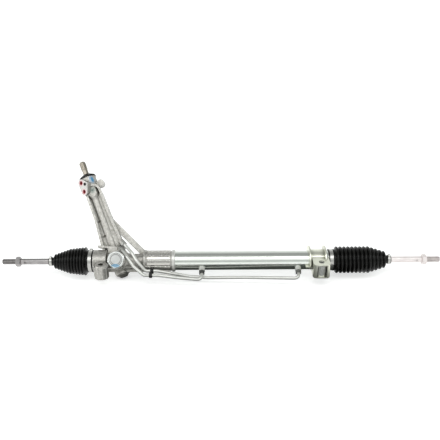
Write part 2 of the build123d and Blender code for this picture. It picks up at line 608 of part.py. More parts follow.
with BuildPart() as mounting_bracket:
    # two ring plates standing on the tube, rounded over at the rim
    for plate in BRACKET_RINGS:
        with BuildSketch(across(MOUNT_SPACING + plate - BRACKET_RING_SHEET / 2)):
            Circle(BRACKET_RING_R)
            with Locations((0, -BRACKET_RING_R - BRACKET_BELOW)):
                Rectangle(3 * BRACKET_RING_R, 2 * BRACKET_RING_R, mode=Mode.SUBTRACT)
        extrude(amount=BRACKET_RING_SHEET)
    fillet(mounting_bracket.edges().filter_by(GeomType.CIRCLE), BRACKET_RIM_ROUND)
    # saddle on the tube between the rings
    with BuildSketch(across(MOUNT_SPACING + BRACKET_RINGS[0])):
        Circle(TUBE_R + BRACKET_SHEET)
        with Locations((0, -BRACKET_RING_R - BRACKET_BELOW)):
            Rectangle(3 * BRACKET_RING_R, 2 * BRACKET_RING_R, mode=Mode.SUBTRACT)
    extrude(amount=BRACKET_RINGS[1] - BRACKET_RINGS[0])
    # room for the bush
    with BuildSketch(bracket_floor):
        Rectangle(2 * (BOX_HALF - BRACKET_SHEET), 2 * BUSH_R)
    extrude(amount=BOX_HEIGHT, mode=Mode.SUBTRACT)
    # box round the bush, run back to the tube
    with BuildSketch(bracket_floor):
        box_outline(0)
        box_outline(BRACKET_SHEET, mode=Mode.SUBTRACT)
    extrude(amount=BOX_HEIGHT)
    with BuildSketch(bracket_floor):
        box_outline(0)
        Circle(BUSH_SLEEVE_R + SEATED, mode=Mode.SUBTRACT)
    extrude(amount=BRACKET_SHEET)
    with BuildSketch(bracket_floor.offset(BOX_HEIGHT - BRACKET_SHEET)):
        box_outline(0)
        Circle(MOUNT_BORE_R + BOLT_PLAY, mode=Mode.SUBTRACT)
    extrude(amount=BRACKET_SHEET)
    # window in its front
    with BuildSketch(bracket_floor.offset(BRACKET_SHEET)):
        with Locations((0, -BOX_FRONT)):
            Rectangle(2 * WINDOW_HALF, 3 * BRACKET_SHEET)
    extrude(amount=BUSH_LENGTH, mode=Mode.SUBTRACT)
    # shelf on the left of the box
    shelf_left = BRACKET_RINGS[0] - FOOT_OVERHANG
    shelf_right = BRACKET_SHEET - BOX_HALF
    with BuildSketch(right_seat.offset(RACK_Z - BRACKET_SHEET)):
        with Locations(((shelf_left + shelf_right) / 2, (RACK_Y + FOOT_FRONT) / 2)):
            Rectangle(shelf_right - shelf_left, RACK_Y - FOOT_FRONT)
    extrude(amount=BRACKET_SHEET)
    with BuildSketch(across(0)):
        Circle(TUBE_R + SEATED)
    extrude(amount=TUBE_RIGHT + NECK_R, mode=Mode.SUBTRACT)
mounting_bracket.part.label = "mounting_bracket"
export_step(mounting_bracket.part, "parts/mounting_bracket.step")

with BuildPart() as bracket_bush_shell:
    with BuildSketch(bracket_floor.offset(BRACKET_SHEET)):
        Circle(BUSH_R)
        Circle(BUSH_R - BUSH_SHELL_WALL, mode=Mode.SUBTRACT)
    extrude(amount=BUSH_LENGTH)
bracket_bush_shell.part.label = "bracket_bush_shell"
export_step(bracket_bush_shell.part, "parts/bracket_bush_shell.step")

with BuildPart() as bracket_bush:
    with BuildSketch(bracket_floor.offset(BRACKET_SHEET)):
        Circle(BUSH_R - BUSH_SHELL_WALL - SEATED)
        Circle(BUSH_SLEEVE_R + SEATED, mode=Mode.SUBTRACT)
    extrude(amount=BUSH_LENGTH)
bracket_bush.part.label = "bracket_bush"
export_step(bracket_bush.part, "parts/bracket_bush.step")

with BuildPart() as bracket_sleeve:
    with BuildSketch(right_seat):
        Circle(BUSH_SLEEVE_R)
        Circle(MOUNT_BORE_R, mode=Mode.SUBTRACT)
    extrude(amount=MOUNT_BOSS_HEIGHT)
bracket_sleeve.part.label = "bracket_sleeve"
export_step(bracket_sleeve.part, "parts/bracket_sleeve.step")

# ================================================================ yoke
with BuildPart() as rack_yoke:
    with BuildSketch(face.offset(RACK_R / 3)):
        Circle(YOKE_R)
    extrude(amount=YOKE_BACK - RACK_R / 3)
    with BuildSketch(across(MESH_X - YOKE_R - 1)):
        Circle(RACK_R + YOKE_SEAT_GAP)
    extrude(amount=2 * YOKE_R + 2, mode=Mode.SUBTRACT)
    with BuildSketch(face.offset(YOKE_BACK)):
        Circle(SPRING_R + SPRING_WIRE_R + SOFT_GAP)
    extrude(amount=-YOKE_PLAY - SPRING_WIRE_R, mode=Mode.SUBTRACT)
rack_yoke.part.label = "rack_yoke"
export_step(rack_yoke.part, "parts/rack_yoke.step")

# coned spring washer between the yoke and its plug
with BuildPart() as yoke_spring:
    spring_side = Plane(origin=face.origin, x_dir=ALONG, z_dir=-UP_TOWER)
    spring_floor = YOKE_BACK - YOKE_PLAY - SPRING_WIRE_R
    with BuildSketch(spring_side):
        with BuildLine():
            Polyline(
                (SPRING_R / 2, spring_floor + 0.9), (SPRING_R + SPRING_WIRE_R, spring_floor),
                (SPRING_R + SPRING_WIRE_R, spring_floor + 0.9), (SPRING_R / 2, spring_floor + 1.8),
                close=True)
        make_face()
    revolve(axis=Axis(face.origin, TO_YOKE))
yoke_spring.part.label = "yoke_spring"
export_step(yoke_spring.part, "parts/yoke_spring.step")

with BuildPart() as yoke_plug:
    with BuildSketch(face.offset(YOKE_BACK + YOKE_PLAY)):
        Circle(YOKE_PLUG_R)
    extrude(amount=YOKE_PLUG_LENGTH)
    plug_front = yoke_plug.faces().sort_by(Axis(face.origin, TO_YOKE))[-1]
    chamfer(plug_front.edges(), 1.2)
    with BuildSketch(face.offset(YOKE_BACK + YOKE_PLAY + YOKE_PLUG_LENGTH)):
        Circle(YOKE_PLUG_R - 3)
        Circle(YOKE_PLUG_R - 4.5, mode=Mode.SUBTRACT)
    extrude(amount=-1, mode=Mode.SUBTRACT)
yoke_plug.part.label = "yoke_plug"
export_step(yoke_plug.part, "parts/yoke_plug.step")

with BuildPart() as yoke_lock_nut:
    with BuildSketch(face.offset(YOKE_BOSS_FRONT)):
        RegularPolygon(YOKE_NUT_AF / 2, 6, major_radius=False, rotation=20)
        Circle(YOKE_PLUG_R + SEATED, mode=Mode.SUBTRACT)
    extrude(amount=YOKE_NUT_HEIGHT)
    with BuildSketch(spring_side, mode=Mode.PRIVATE) as nut_bevel:
        with BuildLine():
            Polyline(
                (YOKE_NUT_AF / 2, YOKE_BOSS_FRONT + YOKE_NUT_HEIGHT),
                (YOKE_NUT_AF, YOKE_BOSS_FRONT + YOKE_NUT_HEIGHT),
                (YOKE_NUT_AF, YOKE_BOSS_FRONT + YOKE_NUT_HEIGHT - YOKE_NUT_AF / 4), close=True)
        make_face()
    revolve(nut_bevel.sketch, axis=Axis(face.origin, TO_YOKE), mode=Mode.SUBTRACT)
yoke_lock_nut.part.label = "yoke_lock_nut"
export_step(yoke_lock_nut.part, "parts/yoke_lock_nut.step")

# ================================================================ pinion and its bearings
pitch_r = TEETH * MODULE / cos(lean) / 2
transverse_angle = acos(1 / sqrt(1 + (tan(radians(PRESSURE)) / cos(lean)) ** 2))
base_r = pitch_r * cos(transverse_angle)
tip_r = pitch_r + MODULE * (1 + SHIFT) - TIP_TRIM
root_r = pitch_r - MODULE * (1.25 - SHIFT)
tooth_width = pi * MODULE / cos(lean) / 2 + 2 * SHIFT * MODULE * tan(transverse_angle) - BACKLASH / 2


def tooth_half_angle(radius):
    """Half the angle that a pinion tooth spans at a radius, in radians."""
    roll = acos(base_r / radius)
    return tooth_width / (2 * pitch_r) + tan(transverse_angle) - transverse_angle - tan(roll) + roll


def pinion_outline():
    """Corners of the pinion's section, one tooth pointing to the yoke."""
    flank = [(root_r, tooth_half_angle(base_r))]
    for share in (0, 0.25, 0.5, 0.75, 1):
        radius = base_r + (tip_r - base_r) * share
        flank.append((radius, tooth_half_angle(radius)))
    corners = []
    for tooth in range(TEETH):
        middle = -pi / 2 + 2 * pi * tooth / TEETH
        for radius, half in flank:
            corners.append((radius * cos(middle - half), radius * sin(middle - half)))
        for radius, half in reversed(flank):
            corners.append((radius * cos(middle + half), radius * sin(middle + half)))
    return corners


gear_twist = degrees(GEAR_LENGTH * tan(lean) / pitch_r)
gear_plane = Plane(
    origin=up_pinion(GEAR_FOOT).origin,
    x_dir=PINION_RIGHT.rotate(Axis((0, 0, 0), PINION_UP), -gear_twist / 2),
    z_dir=PINION_UP)
with BuildSketch() as gear_section:
    with BuildLine():
        Polyline(*pinion_outline(), close=True)
    make_face()
helical_gear = Solid.extrude_linear_with_rotation(
    gear_section.faces()[0], (0, 0, 0), (0, 0, GEAR_LENGTH), gear_twist)
with BuildPart() as pinion_shaft:
    add(helical_gear.moved(gear_plane.location))
    with BuildSketch(tower_side):
        with BuildLine():
            Polyline(
                (0, BUSH_FOOT - PINION_NUT_HEIGHT - 1.5), (PINION_THREAD_R, BUSH_FOOT - PINION_NUT_HEIGHT - 1.5),
                (PINION_THREAD_R, BUSH_FOOT - 0.5), (BEARING_SHAFT_R, BUSH_FOOT - 0.5),
                (BEARING_SHAFT_R, GEAR_FOOT), (root_r - 1, GEAR_FOOT), (root_r - 1, -GEAR_FOOT),
                (PINION_SHAFT_R, -GEAR_FOOT), (PINION_SHAFT_R, VALVE_SLEEVE_BOTTOM - 3),
                (VALVE_SLEEVE_R - 1, VALVE_SLEEVE_BOTTOM - 3), (VALVE_SLEEVE_R - 1, VALVE_SLEEVE_BOTTOM),
                (INPUT_R, VALVE_SLEEVE_BOTTOM), (INPUT_R, VALVE_SLEEVE_BOTTOM + 8),
                (0, VALVE_SLEEVE_BOTTOM + 8), close=True)
        make_face()
    revolve(axis=PINION_AXIS)
    with BuildSketch(up_pinion(VALVE_SLEEVE_BOTTOM + 8)):
        Circle(TORSION_R + RUNNING)
    extrude(amount=-30, mode=Mode.SUBTRACT)
pinion_shaft.part.label = "pinion_shaft"
export_step(pinion_shaft.part, "parts/pinion_shaft.step")

with BuildPart() as pinion_nut:
    with BuildSketch(up_pinion(BUSH_FOOT - 0.5)):
        RegularPolygon(PINION_NUT_AF / 2, 6, major_radius=False)
        Circle(PINION_THREAD_R + SEATED, mode=Mode.SUBTRACT)
    extrude(amount=-PINION_NUT_HEIGHT)
pinion_nut.part.label = "pinion_nut"
export_step(pinion_nut.part, "parts/pinion_nut.step")

with BuildPart() as pinion_lower_bush:
    with BuildSketch(up_pinion(BUSH_FOOT)):
        Circle(BEARING_R)
        Circle(BEARING_SHAFT_R + RUNNING, mode=Mode.SUBTRACT)
    extrude(amount=BEARING_WIDTH)
pinion_lower_bush.part.label = "pinion_lower_bush"
export_step(pinion_lower_bush.part, "parts/pinion_lower_bush.step")

with BuildPart() as pinion_upper_bush:
    with BuildSketch(up_pinion(UPPER_BUSH_AT)):
        Circle(PINION_BORE_R - SEATED)
        Circle(PINION_SHAFT_R + RUNNING, mode=Mode.SUBTRACT)
    extrude(amount=UPPER_BUSH_WIDTH)
pinion_upper_bush.part.label = "pinion_upper_bush"
export_step(pinion_upper_bush.part, "parts/pinion_upper_bush.step")

with BuildPart() as pinion_lower_cap:
    with BuildSketch(tower_side):
        with BuildLine():
            Polyline(
                (0, FOOT_BOTTOM - 9), (9, FOOT_BOTTOM - 9), (10, FOOT_BOTTOM - 8),
                (CAP_R - 2, FOOT_BOTTOM - 4), (CAP_R + 1, FOOT_BOTTOM - 3), (CAP_R + 1, FOOT_BOTTOM),
                (BEARING_R, FOOT_BOTTOM), (BEARING_R, BUSH_FOOT - 0.3), (CAP_CAVITY_R, BUSH_FOOT - 0.3),
                (CAP_CAVITY_R, FOOT_BOTTOM - 2), (PINION_THREAD_R + 2, FOOT_BOTTOM - 5),
                (0, FOOT_BOTTOM - 5), close=True)
        make_face()
    revolve(axis=PINION_AXIS)
pinion_lower_cap.part.label = "pinion_lower_cap"
export_step(pinion_lower_cap.part, "parts/pinion_lower_cap.step")

# ================================================================ rotary valve and input shaft
ring_pitch = (VALVE_SLEEVE_TOP - VALVE_SLEEVE_BOTTOM) / VALVE_RINGS
with BuildPart() as valve_sleeve:
    with BuildSketch(up_pinion(VALVE_SLEEVE_BOTTOM)):
        Circle(VALVE_SLEEVE_R - 0.5)
        Circle(INPUT_R + RUNNING, mode=Mode.SUBTRACT)
    extrude(amount=VALVE_SLEEVE_TOP - VALVE_SLEEVE_BOTTOM)
    for ring in range(VALVE_RINGS):
        with BuildSketch(up_pinion(VALVE_SLEEVE_BOTTOM + (ring + 0.5) * ring_pitch)):
            Circle(VALVE_SLEEVE_R)
            Circle(VALVE_SLEEVE_R - 0.5 - VALVE_RING_DEPTH, mode=Mode.SUBTRACT)
        extrude(amount=VALVE_RING_WIDTH, mode=Mode.SUBTRACT)
valve_sleeve.part.label = "valve_sleeve"
export_step(valve_sleeve.part, "parts/valve_sleeve.step")

with BuildPart() as valve_rings:
    for ring in range(VALVE_RINGS):
        with BuildSketch(up_pinion(VALVE_SLEEVE_BOTTOM + (ring + 0.5) * ring_pitch)):
            Circle(VALVE_BORE_R - RUNNING)
            Circle(VALVE_SLEEVE_R - 0.5 - VALVE_RING_DEPTH + SEATED, mode=Mode.SUBTRACT)
        extrude(amount=VALVE_RING_WIDTH)
valve_rings.part.label = "valve_rings"
export_step(valve_rings.part, "parts/valve_rings.step")

with BuildPart() as input_shaft:
    with BuildSketch(tower_side):
        with BuildLine():
            Polyline(
                (0, VALVE_SLEEVE_BOTTOM + 8.5), (INPUT_R, VALVE_SLEEVE_BOTTOM + 8.5),
                (INPUT_R, VALVE_SLEEVE_TOP + 4), (INPUT_SEAL_R, VALVE_SLEEVE_TOP + 4),
                (INPUT_SEAL_R, HEAD_TOP + 2), (INPUT_NECK_R, HEAD_TOP + 4),
                (INPUT_NECK_R, INPUT_TOP - SPLINE_LENGTH - 1), (SPLINE_R, INPUT_TOP - SPLINE_LENGTH),
                (SPLINE_R, INPUT_TOP - 3), (SPLINE_R - 2.5, INPUT_TOP), (0, INPUT_TOP), close=True)
        make_face()
    revolve(axis=PINION_AXIS)
    with BuildSketch(up_pinion(INPUT_TOP - 8)):
        Circle(TORSION_R + SOFT_GAP)
    extrude(amount=VALVE_SLEEVE_BOTTOM - INPUT_TOP, mode=Mode.SUBTRACT)
    with BuildSketch(up_pinion(INPUT_TOP)):
        with PolarLocations(SPLINE_R, SPLINES):
            Rectangle(2 * SPLINE_DEPTH, SPLINE_GAP)
    extrude(amount=-SPLINE_LENGTH + 1, mode=Mode.SUBTRACT)
input_shaft.part.label = "input_shaft"
export_step(input_shaft.part, "parts/input_shaft.step")

with BuildPart() as torsion_bar:
    with BuildSketch(up_pinion(VALVE_SLEEVE_BOTTOM - TORSION_BELOW)):
        Circle(TORSION_R)
    extrude(amount=INPUT_TOP - 8 - VALVE_SLEEVE_BOTTOM + TORSION_BELOW - SEATED)
torsion_bar.part.label = "torsion_bar"
export_step(torsion_bar.part, "parts/torsion_bar.step")

with BuildPart() as input_seal:
    with BuildSketch(up_pinion(HEAD_TOP - 2)):
        Circle(VALVE_BORE_R - SEATED)
        Circle(INPUT_SEAL_R + RUNNING, mode=Mode.SUBTRACT)
    extrude(amount=-SEAL_WIDTH)
input_seal.part.label = "input_seal"
export_step(input_seal.part, "parts/input_seal.step")

with BuildPart() as dust_cap:
    with BuildSketch(tower_side):
        with BuildLine():
            Polyline(
                (HEAD_R + SEATED, HEAD_TOP - 4), (DUST_CAP_R, HEAD_TOP - 4), (DUST_CAP_R, HEAD_TOP),
                (DUST_CAP_R - 1, HEAD_TOP + 1), (INPUT_SEAL_R + 3, HEAD_TOP + DUST_CAP_HEIGHT),
                (INPUT_NECK_R + SOFT_GAP, HEAD_TOP + DUST_CAP_HEIGHT),
                (INPUT_NECK_R + SOFT_GAP, HEAD_TOP + DUST_CAP_HEIGHT - DUST_CAP_WALL),
                (INPUT_SEAL_R + 2, HEAD_TOP + DUST_CAP_HEIGHT - DUST_CAP_WALL),
                (HEAD_R - 3, HEAD_TOP + SEATED), (HEAD_R + SEATED, HEAD_TOP + SEATED), close=True)
        make_face()
    revolve(axis=PINION_AXIS)
dust_cap.part.label = "dust_cap"
export_step(dust_cap.part, "parts/dust_cap.step")

# ================================================================ hose ports
with BuildPart() as port_plate:
    with BuildSketch(port_face.offset(PAD_REACH)):
        add(pad_outline(PAD_R + 0.7))
        with Locations(*HOSE_PORTS):
            Circle(PLUG_R + SEATED, mode=Mode.SUBTRACT)
        with Locations(PAD_BOLT):
            Circle(PAD_BOLT_R, mode=Mode.SUBTRACT)
    extrude(amount=PLATE_THICKNESS)
port_plate.part.label = "port_plate"
export_step(port_plate.part, "parts/port_plate.step")

with BuildPart() as port_plugs:
    with BuildSketch(port_face.offset(PAD_REACH + PLATE_THICKNESS - 1)):
        with Locations(*HOSE_PORTS):
            Circle(PLUG_R)
    extrude(amount=-PLUG_DEPTH)
    with BuildSketch(port_face.offset(PAD_REACH + PLATE_THICKNESS - 1)):
        with Locations(*HOSE_PORTS):
            Circle(PLUG_R - 1.6)
    extrude(amount=-PLUG_DEPTH / 2, mode=Mode.SUBTRACT)
port_plugs.part.label = "port_plugs"
export_step(port_plugs.part, "parts/port_plugs.step")

# ================================================================ transfer pipes
short_points = pipe_points(SHORT_ROUTE, PORT_LEFT_X, PIPE_TURN)
long_points = pipe_points(LONG_ROUTE, PORT_RIGHT_X, LONG_PIPE_TURN)


def pipe_along(points):
    """Solid pipe swept along a route, its ends square to the first and last runs."""
    start = Vector(points[0])
    heading = Vector(points[1]) - start
    with BuildPart() as pipe:
        with BuildLine() as centre_line:
            FilletPolyline(*points, radius=PIPE_BEND)
        with BuildSketch(Plane(origin=start, z_dir=heading)):
            Circle(PIPE_R)
        sweep(path=centre_line.wires()[0])
    return pipe.part


with BuildPart() as transfer_pipe_short:
    add(pipe_along(short_points))
transfer_pipe_short.part.label = "transfer_pipe_short"
export_step(transfer_pipe_short.part, "parts/transfer_pipe_short.step")

with BuildPart() as transfer_pipe_long:
    add(pipe_along(long_points))
transfer_pipe_long.part.label = "transfer_pipe_long"
export_step(transfer_pipe_long.part, "parts/transfer_pipe_long.step")

with BuildPart() as pipe_union_nuts:
    for points in (short_points, long_points):
        for seat, towards in ((points[0], points[1]), (points[-1], points[-2])):
            with BuildSketch(Plane(origin=seat, z_dir=Vector(towards) - Vector(seat))):
                RegularPolygon(UNION_AF / 2, 6, major_radius=False)
                Circle(PIPE_R + SEATED, mode=Mode.SUBTRACT)
            extrude(amount=UNION_LENGTH)
pipe_union_nuts.part.label = "pipe_union_nuts"
export_step(pipe_union_nuts.part, "parts/pipe_union_nuts.step")

# clip with an eye round each pipe and a foot on the casting
with BuildPart() as pipe_clip:
    clip_plane = across(CLIP_X - CLIP_WIDTH / 2)
    eyes = [(SHORT_ROUTE[4][1], SHORT_ROUTE[4][2]), (LONG_ROUTE[4][1], LONG_ROUTE[4][2])]
    foot = Vector(*eyes[1]).normalized() * (SLEEVE_R + SLEEVE_RIB + SOFT_GAP)
    with BuildSketch(clip_plane):
        with Locations(*eyes):
            Circle(PIPE_R + CLIP_WALL)
        with BuildLine():
            Polyline(eyes[0], eyes[1], (foot.X, foot.Y))
        trace(line_width=2 * PIPE_R)
        with Locations(*eyes):
            Circle(PIPE_R + CLIP_PLAY, mode=Mode.SUBTRACT)
    extrude(amount=CLIP_WIDTH)
pipe_clip.part.label = "pipe_clip"
export_step(pipe_clip.part, "parts/pipe_clip.step")

# ================================================================ rack, piston and ball joints
with BuildPart() as rack_bar:
    with BuildSketch(across(RACK_LEFT)):
        Circle(RACK_R)
    extrude(amount=RACK_RIGHT - RACK_LEFT)
    # straight teeth across the back of the bar
    pitch = pi * MODULE
    gap_first = -int((TRAVEL_RIGHT + TOOTH_MARGIN) / pitch)
    gap_last = int((TRAVEL_LEFT + TOOTH_MARGIN) / pitch)
    root_depth = rack_datum - 1.25 * MODULE
    slope = tan(radians(PRESSURE))
    teeth_plane = Plane(origin=face.origin - UP_TOWER * RACK_R, x_dir=ALONG, z_dir=UP_TOWER)
    half_gap_top = pitch / 4 + BACKLASH / 4 + MODULE * slope
    half_gap_root = pitch / 4 + BACKLASH / 4 - 1.25 * MODULE * slope
    with BuildSketch(teeth_plane):
        for gap in range(gap_first, gap_last + 1):
            with BuildLine():
                Polyline(
                    (gap * pitch - half_gap_root, root_depth), (gap * pitch - half_gap_top, RACK_TIP),
                    (gap * pitch - half_gap_top, RACK_R), (gap * pitch + half_gap_top, RACK_R),
                    (gap * pitch + half_gap_top, RACK_TIP), (gap * pitch + half_gap_root, root_depth),
                    close=True)
            make_face()
        with BuildLine():
            Polyline(
                (gap_first * pitch, RACK_TIP), (gap_first * pitch - MODULE, RACK_R + 1),
                (gap_last * pitch + MODULE, RACK_R + 1), (gap_last * pitch, RACK_TIP), close=True)
        make_face()
    extrude(amount=2 * RACK_R, mode=Mode.SUBTRACT)
    # threaded bores for the ball joints
    for end in (across(RACK_LEFT), across(RACK_RIGHT - STUD_LENGTH - 1)):
        with BuildSketch(end):
            Circle(STUD_R + SEATED)
        extrude(amount=STUD_LENGTH + 1, mode=Mode.SUBTRACT)
rack_bar.part.label = "rack_bar"
export_step(rack_bar.part, "parts/rack_bar.step")

with BuildPart() as piston:
    with BuildSketch(across(PISTON_X - PISTON_WIDTH / 2)):
        Circle(BORE_R - PISTON_PLAY)
        Circle(RACK_R + SEATED, mode=Mode.SUBTRACT)
    extrude(amount=PISTON_WIDTH)
    with BuildSketch(across(PISTON_X - PISTON_RING_WIDTH / 2)):
        Circle(BORE_R)
        Circle(BORE_R - PISTON_PLAY - PISTON_RING_DEPTH, mode=Mode.SUBTRACT)
    extrude(amount=PISTON_RING_WIDTH, mode=Mode.SUBTRACT)
piston.part.label = "piston"
export_step(piston.part, "parts/piston.step")

with BuildPart() as piston_ring:
    with BuildSketch(across(PISTON_X - PISTON_RING_WIDTH / 2)):
        Circle(BORE_R - RUNNING)
        Circle(BORE_R - PISTON_PLAY - PISTON_RING_DEPTH + SEATED, mode=Mode.SUBTRACT)
    extrude(amount=PISTON_RING_WIDTH)
piston_ring.part.label = "piston_ring"
export_step(piston_ring.part, "parts/piston_ring.step")


def outward_plane(x, side):
    """Plane holding the rack axis, its x pointing out of the rack on that side."""
    return Plane(origin=(x, RACK_Y, RACK_Z), x_dir=(side, 0, 0), z_dir=(0, -side, 0))


def at_distance(radius, offset):
    """Distance along the axis at which a sphere of that radius has shrunk to the offset."""
    return sqrt(radius ** 2 - offset ** 2)


BALL_CENTRES = {"left": (LEFT_BALL_X, -1), "right": (RIGHT_BALL_X, 1)}
for name, (ball_x, side) in BALL_CENTRES.items():
    end_plane = outward_plane(ball_x, side)

    # socket screwed into the end of the rack
    with BuildPart() as joint_housing:
        lip_r = at_distance(SOCKET_R, JOINT_FRONT)
        with BuildSketch(end_plane):
            with BuildLine():
                Polyline(
                    (JOINT_FRONT, lip_r), (JOINT_FRONT, JOINT_R - 2.5), (JOINT_FRONT - 2.5, JOINT_R),
                    (1 - JOINT_BACK, JOINT_R), (-JOINT_BACK, JOINT_R - 1), (-JOINT_BACK, STUD_R),
                    (-JOINT_BACK - STUD_LENGTH + 1, STUD_R), (-JOINT_BACK - STUD_LENGTH, STUD_R - 1),
                    (-JOINT_BACK - STUD_LENGTH, 0), (-SOCKET_R, 0))
                ThreePointArc((-SOCKET_R, 0), (0, SOCKET_R), (JOINT_FRONT, lip_r))
            make_face()
        revolve(axis=RACK_AXIS)
    joint_housing.part.label = name + "_joint_housing"
    export_step(joint_housing.part, "parts/" + name + "_joint_housing.step")

    # seat that the ball turns in
    with BuildPart() as ball_seat:
        with BuildSketch(end_plane):
            inner_r = BALL_R + RUNNING
            with BuildLine():
                ThreePointArc(
                    (-SEAT_HALF, at_distance(SEAT_R, SEAT_HALF)), (0, SEAT_R),
                    (SEAT_HALF, at_distance(SEAT_R, SEAT_HALF)))
                Line((SEAT_HALF, at_distance(SEAT_R, SEAT_HALF)), (SEAT_HALF, at_distance(inner_r, SEAT_HALF)))
                ThreePointArc(
                    (SEAT_HALF, at_distance(inner_r, SEAT_HALF)), (0, inner_r),
                    (-SEAT_HALF, at_distance(inner_r, SEAT_HALF)))
                Line((-SEAT_HALF, at_distance(inner_r, SEAT_HALF)), (-SEAT_HALF, at_distance(SEAT_R, SEAT_HALF)))
            make_face()
        revolve(axis=RACK_AXIS)
    ball_seat.part.label = name + "_ball_seat"
    export_step(ball_seat.part, "parts/" + name + "_ball_seat.step")

    # ball and rod in one piece, threaded at the tip, with two spanner flats
    with BuildPart() as tie_rod:
        thread_start = ROD_LENGTH - THREAD_LENGTH
        neck_at = at_distance(BALL_R, ROD_NECK_R)
        with BuildSketch(end_plane):
            with BuildLine():
                Polyline(
                    (neck_at, ROD_NECK_R), (ROD_NECK_LENGTH, ROD_NECK_R), (ROD_NECK_LENGTH + 6, ROD_R),
                    (thread_start, ROD_R), (thread_start, THREAD_R - THREAD_RUNOUT),
                    (ROD_LENGTH - NUT_FROM_TIP, THREAD_R - THREAD_RUNOUT),
                    (ROD_LENGTH - NUT_FROM_TIP, THREAD_R), (ROD_LENGTH - 1.5, THREAD_R),
                    (ROD_LENGTH, THREAD_R - 1.5), (ROD_LENGTH, 0), (-BALL_R, 0))
                ThreePointArc((-BALL_R, 0), (0, BALL_R), (neck_at, ROD_NECK_R))
            make_face()
        revolve(axis=RACK_AXIS)
        with BuildSketch(Plane(origin=end_plane.origin, x_dir=end_plane.x_dir, z_dir=(0, 0, 1))):
            with GridLocations(0, FLATS_AF + ROD_R, 1, 2):
                with Locations((thread_start - 1.5 - FLATS_WIDTH / 2, 0)):
                    Rectangle(FLATS_WIDTH, ROD_R)
        extrude(amount=ROD_R, both=True, mode=Mode.SUBTRACT)
    tie_rod.part.label = name + "_tie_rod"
    export_step(tie_rod.part, "parts/" + name + "_tie_rod.step")

    with BuildPart() as jam_nut:
        nut_outer = ROD_LENGTH - NUT_FROM_TIP
        with BuildSketch(across(ball_x + side * (nut_outer - NUT_HEIGHT / 2))):
            RegularPolygon(NUT_AF / 2, 6, major_radius=False)
            Circle(THREAD_R - THREAD_RUNOUT + SEATED, mode=Mode.SUBTRACT)
        extrude(amount=NUT_HEIGHT / 2, both=True)
        for nut_end in (nut_outer, nut_outer - NUT_HEIGHT):
            inwards = 1 if nut_end < nut_outer else -1
            with BuildSketch(end_plane, mode=Mode.PRIVATE) as bevel:
                with BuildLine():
                    Polyline(
                        (nut_end, NUT_AF / 2), (nut_end, NUT_AF), (nut_end + inwards * NUT_AF / 4, NUT_AF),
                        close=True)
                make_face()
            revolve(bevel.sketch, axis=RACK_AXIS, mode=Mode.SUBTRACT)
    jam_nut.part.label = name + "_jam_nut"
    export_step(jam_nut.part, "parts/" + name + "_jam_nut.step")

# ================================================================ boots and their clamps
SMALL_CUFF_R = ROD_R + SOFT_GAP + SMALL_CUFF_WALL
SHOULDERS = {"left": -NECK_LENGTH, "right": TUBE_RIGHT - SPIGOT_LENGTH - BOOT_STOP}


def pleat_radii(full, falling, first_r, full_r, last_r):
    """Peak radius of each pleat of a boot, from the big cuff outwards."""
    radii = [first_r + (full_r - first_r) * i / (full - 1) for i in range(full)]
    radii += [full_r + (last_r - full_r) * (i + 1) / falling for i in range(falling)]
    return radii


for name, (ball_x, side) in BALL_CENTRES.items():
    length = PLEATED_LENGTH[name]
    falling = round(FALLING_LENGTH[name] / PLEAT_PITCH[name])
    full = round(length / PLEAT_PITCH[name]) - falling
    full_r = LAST_FULL_PLEAT_R[name]
    shoulder_plane = outward_plane(SHOULDERS[name], side)
    spigot_r = SPIGOT_R if side < 0 else TUBE_R
    cuff_r = spigot_r + SEATED + BOOT_WALL
    peaks = pleat_radii(full, falling, FIRST_PLEAT_R[name], full_r, LAST_PLEAT_R[name])
    pleat = length / len(peaks)
    pleats_end = PLEATS_FROM + length
    with BuildPart() as boot:
        outline = [(0.5, spigot_r + SEATED), (0.5, cuff_r + 1.5), (BIG_CLAMP_AT - 0.5, cuff_r + 1.5),
                   (BIG_CLAMP_AT - 0.5, cuff_r), (BIG_CLAMP_AT + BIG_CLAMP_WIDTH + 0.5, cuff_r)]
        for i, peak in enumerate(peaks):
            outline.append((PLEATS_FROM + (i + 0.5) * pleat, peak))
            outline.append((PLEATS_FROM + (i + 1) * pleat, peak - PLEAT_DEPTH))
        outline[-1] = (pleats_end, SMALL_CUFF_R)
        outline += [(pleats_end + SMALL_CUFF_LENGTH, SMALL_CUFF_R),
                    (pleats_end + SMALL_CUFF_LENGTH, ROD_R + SOFT_GAP), (pleats_end, ROD_R + SOFT_GAP),
                    (PLEATS_FROM + full * pleat, full_r - PLEAT_DEPTH - BOOT_WALL),
                    (PLEATS_FROM, spigot_r + SEATED), (SPIGOT_LENGTH, spigot_r + SEATED)]
        with BuildSketch(shoulder_plane):
            with BuildLine():
                Polyline(*outline, close=True)
            make_face()
        revolve(axis=RACK_AXIS)
    boot.part.label = name + "_boot"
    export_step(boot.part, "parts/" + name + "_boot.step")

    with BuildPart() as big_clamp:
        with BuildSketch(shoulder_plane):
            with Locations((BIG_CLAMP_AT + BIG_CLAMP_WIDTH / 2, cuff_r + SEATED + CLAMP_THICKNESS / 2)):
                Rectangle(BIG_CLAMP_WIDTH, CLAMP_THICKNESS)
        revolve(axis=RACK_AXIS)
    big_clamp.part.label = name + "_big_clamp"
    export_step(big_clamp.part, "parts/" + name + "_big_clamp.step")

    with BuildPart() as small_clamp:
        clamp_middle = pleats_end + SMALL_CUFF_LENGTH - SMALL_CLAMP_WIDTH / 2 - 2
        with BuildSketch(shoulder_plane):
            with Locations((clamp_middle, SMALL_CUFF_R + SOFT_GAP + CLAMP_THICKNESS / 2)):
                Rectangle(SMALL_CLAMP_WIDTH, CLAMP_THICKNESS)
        revolve(axis=RACK_AXIS)
    small_clamp.part.label = name + "_small_clamp"
    export_step(small_clamp.part, "parts/" + name + "_small_clamp.step")
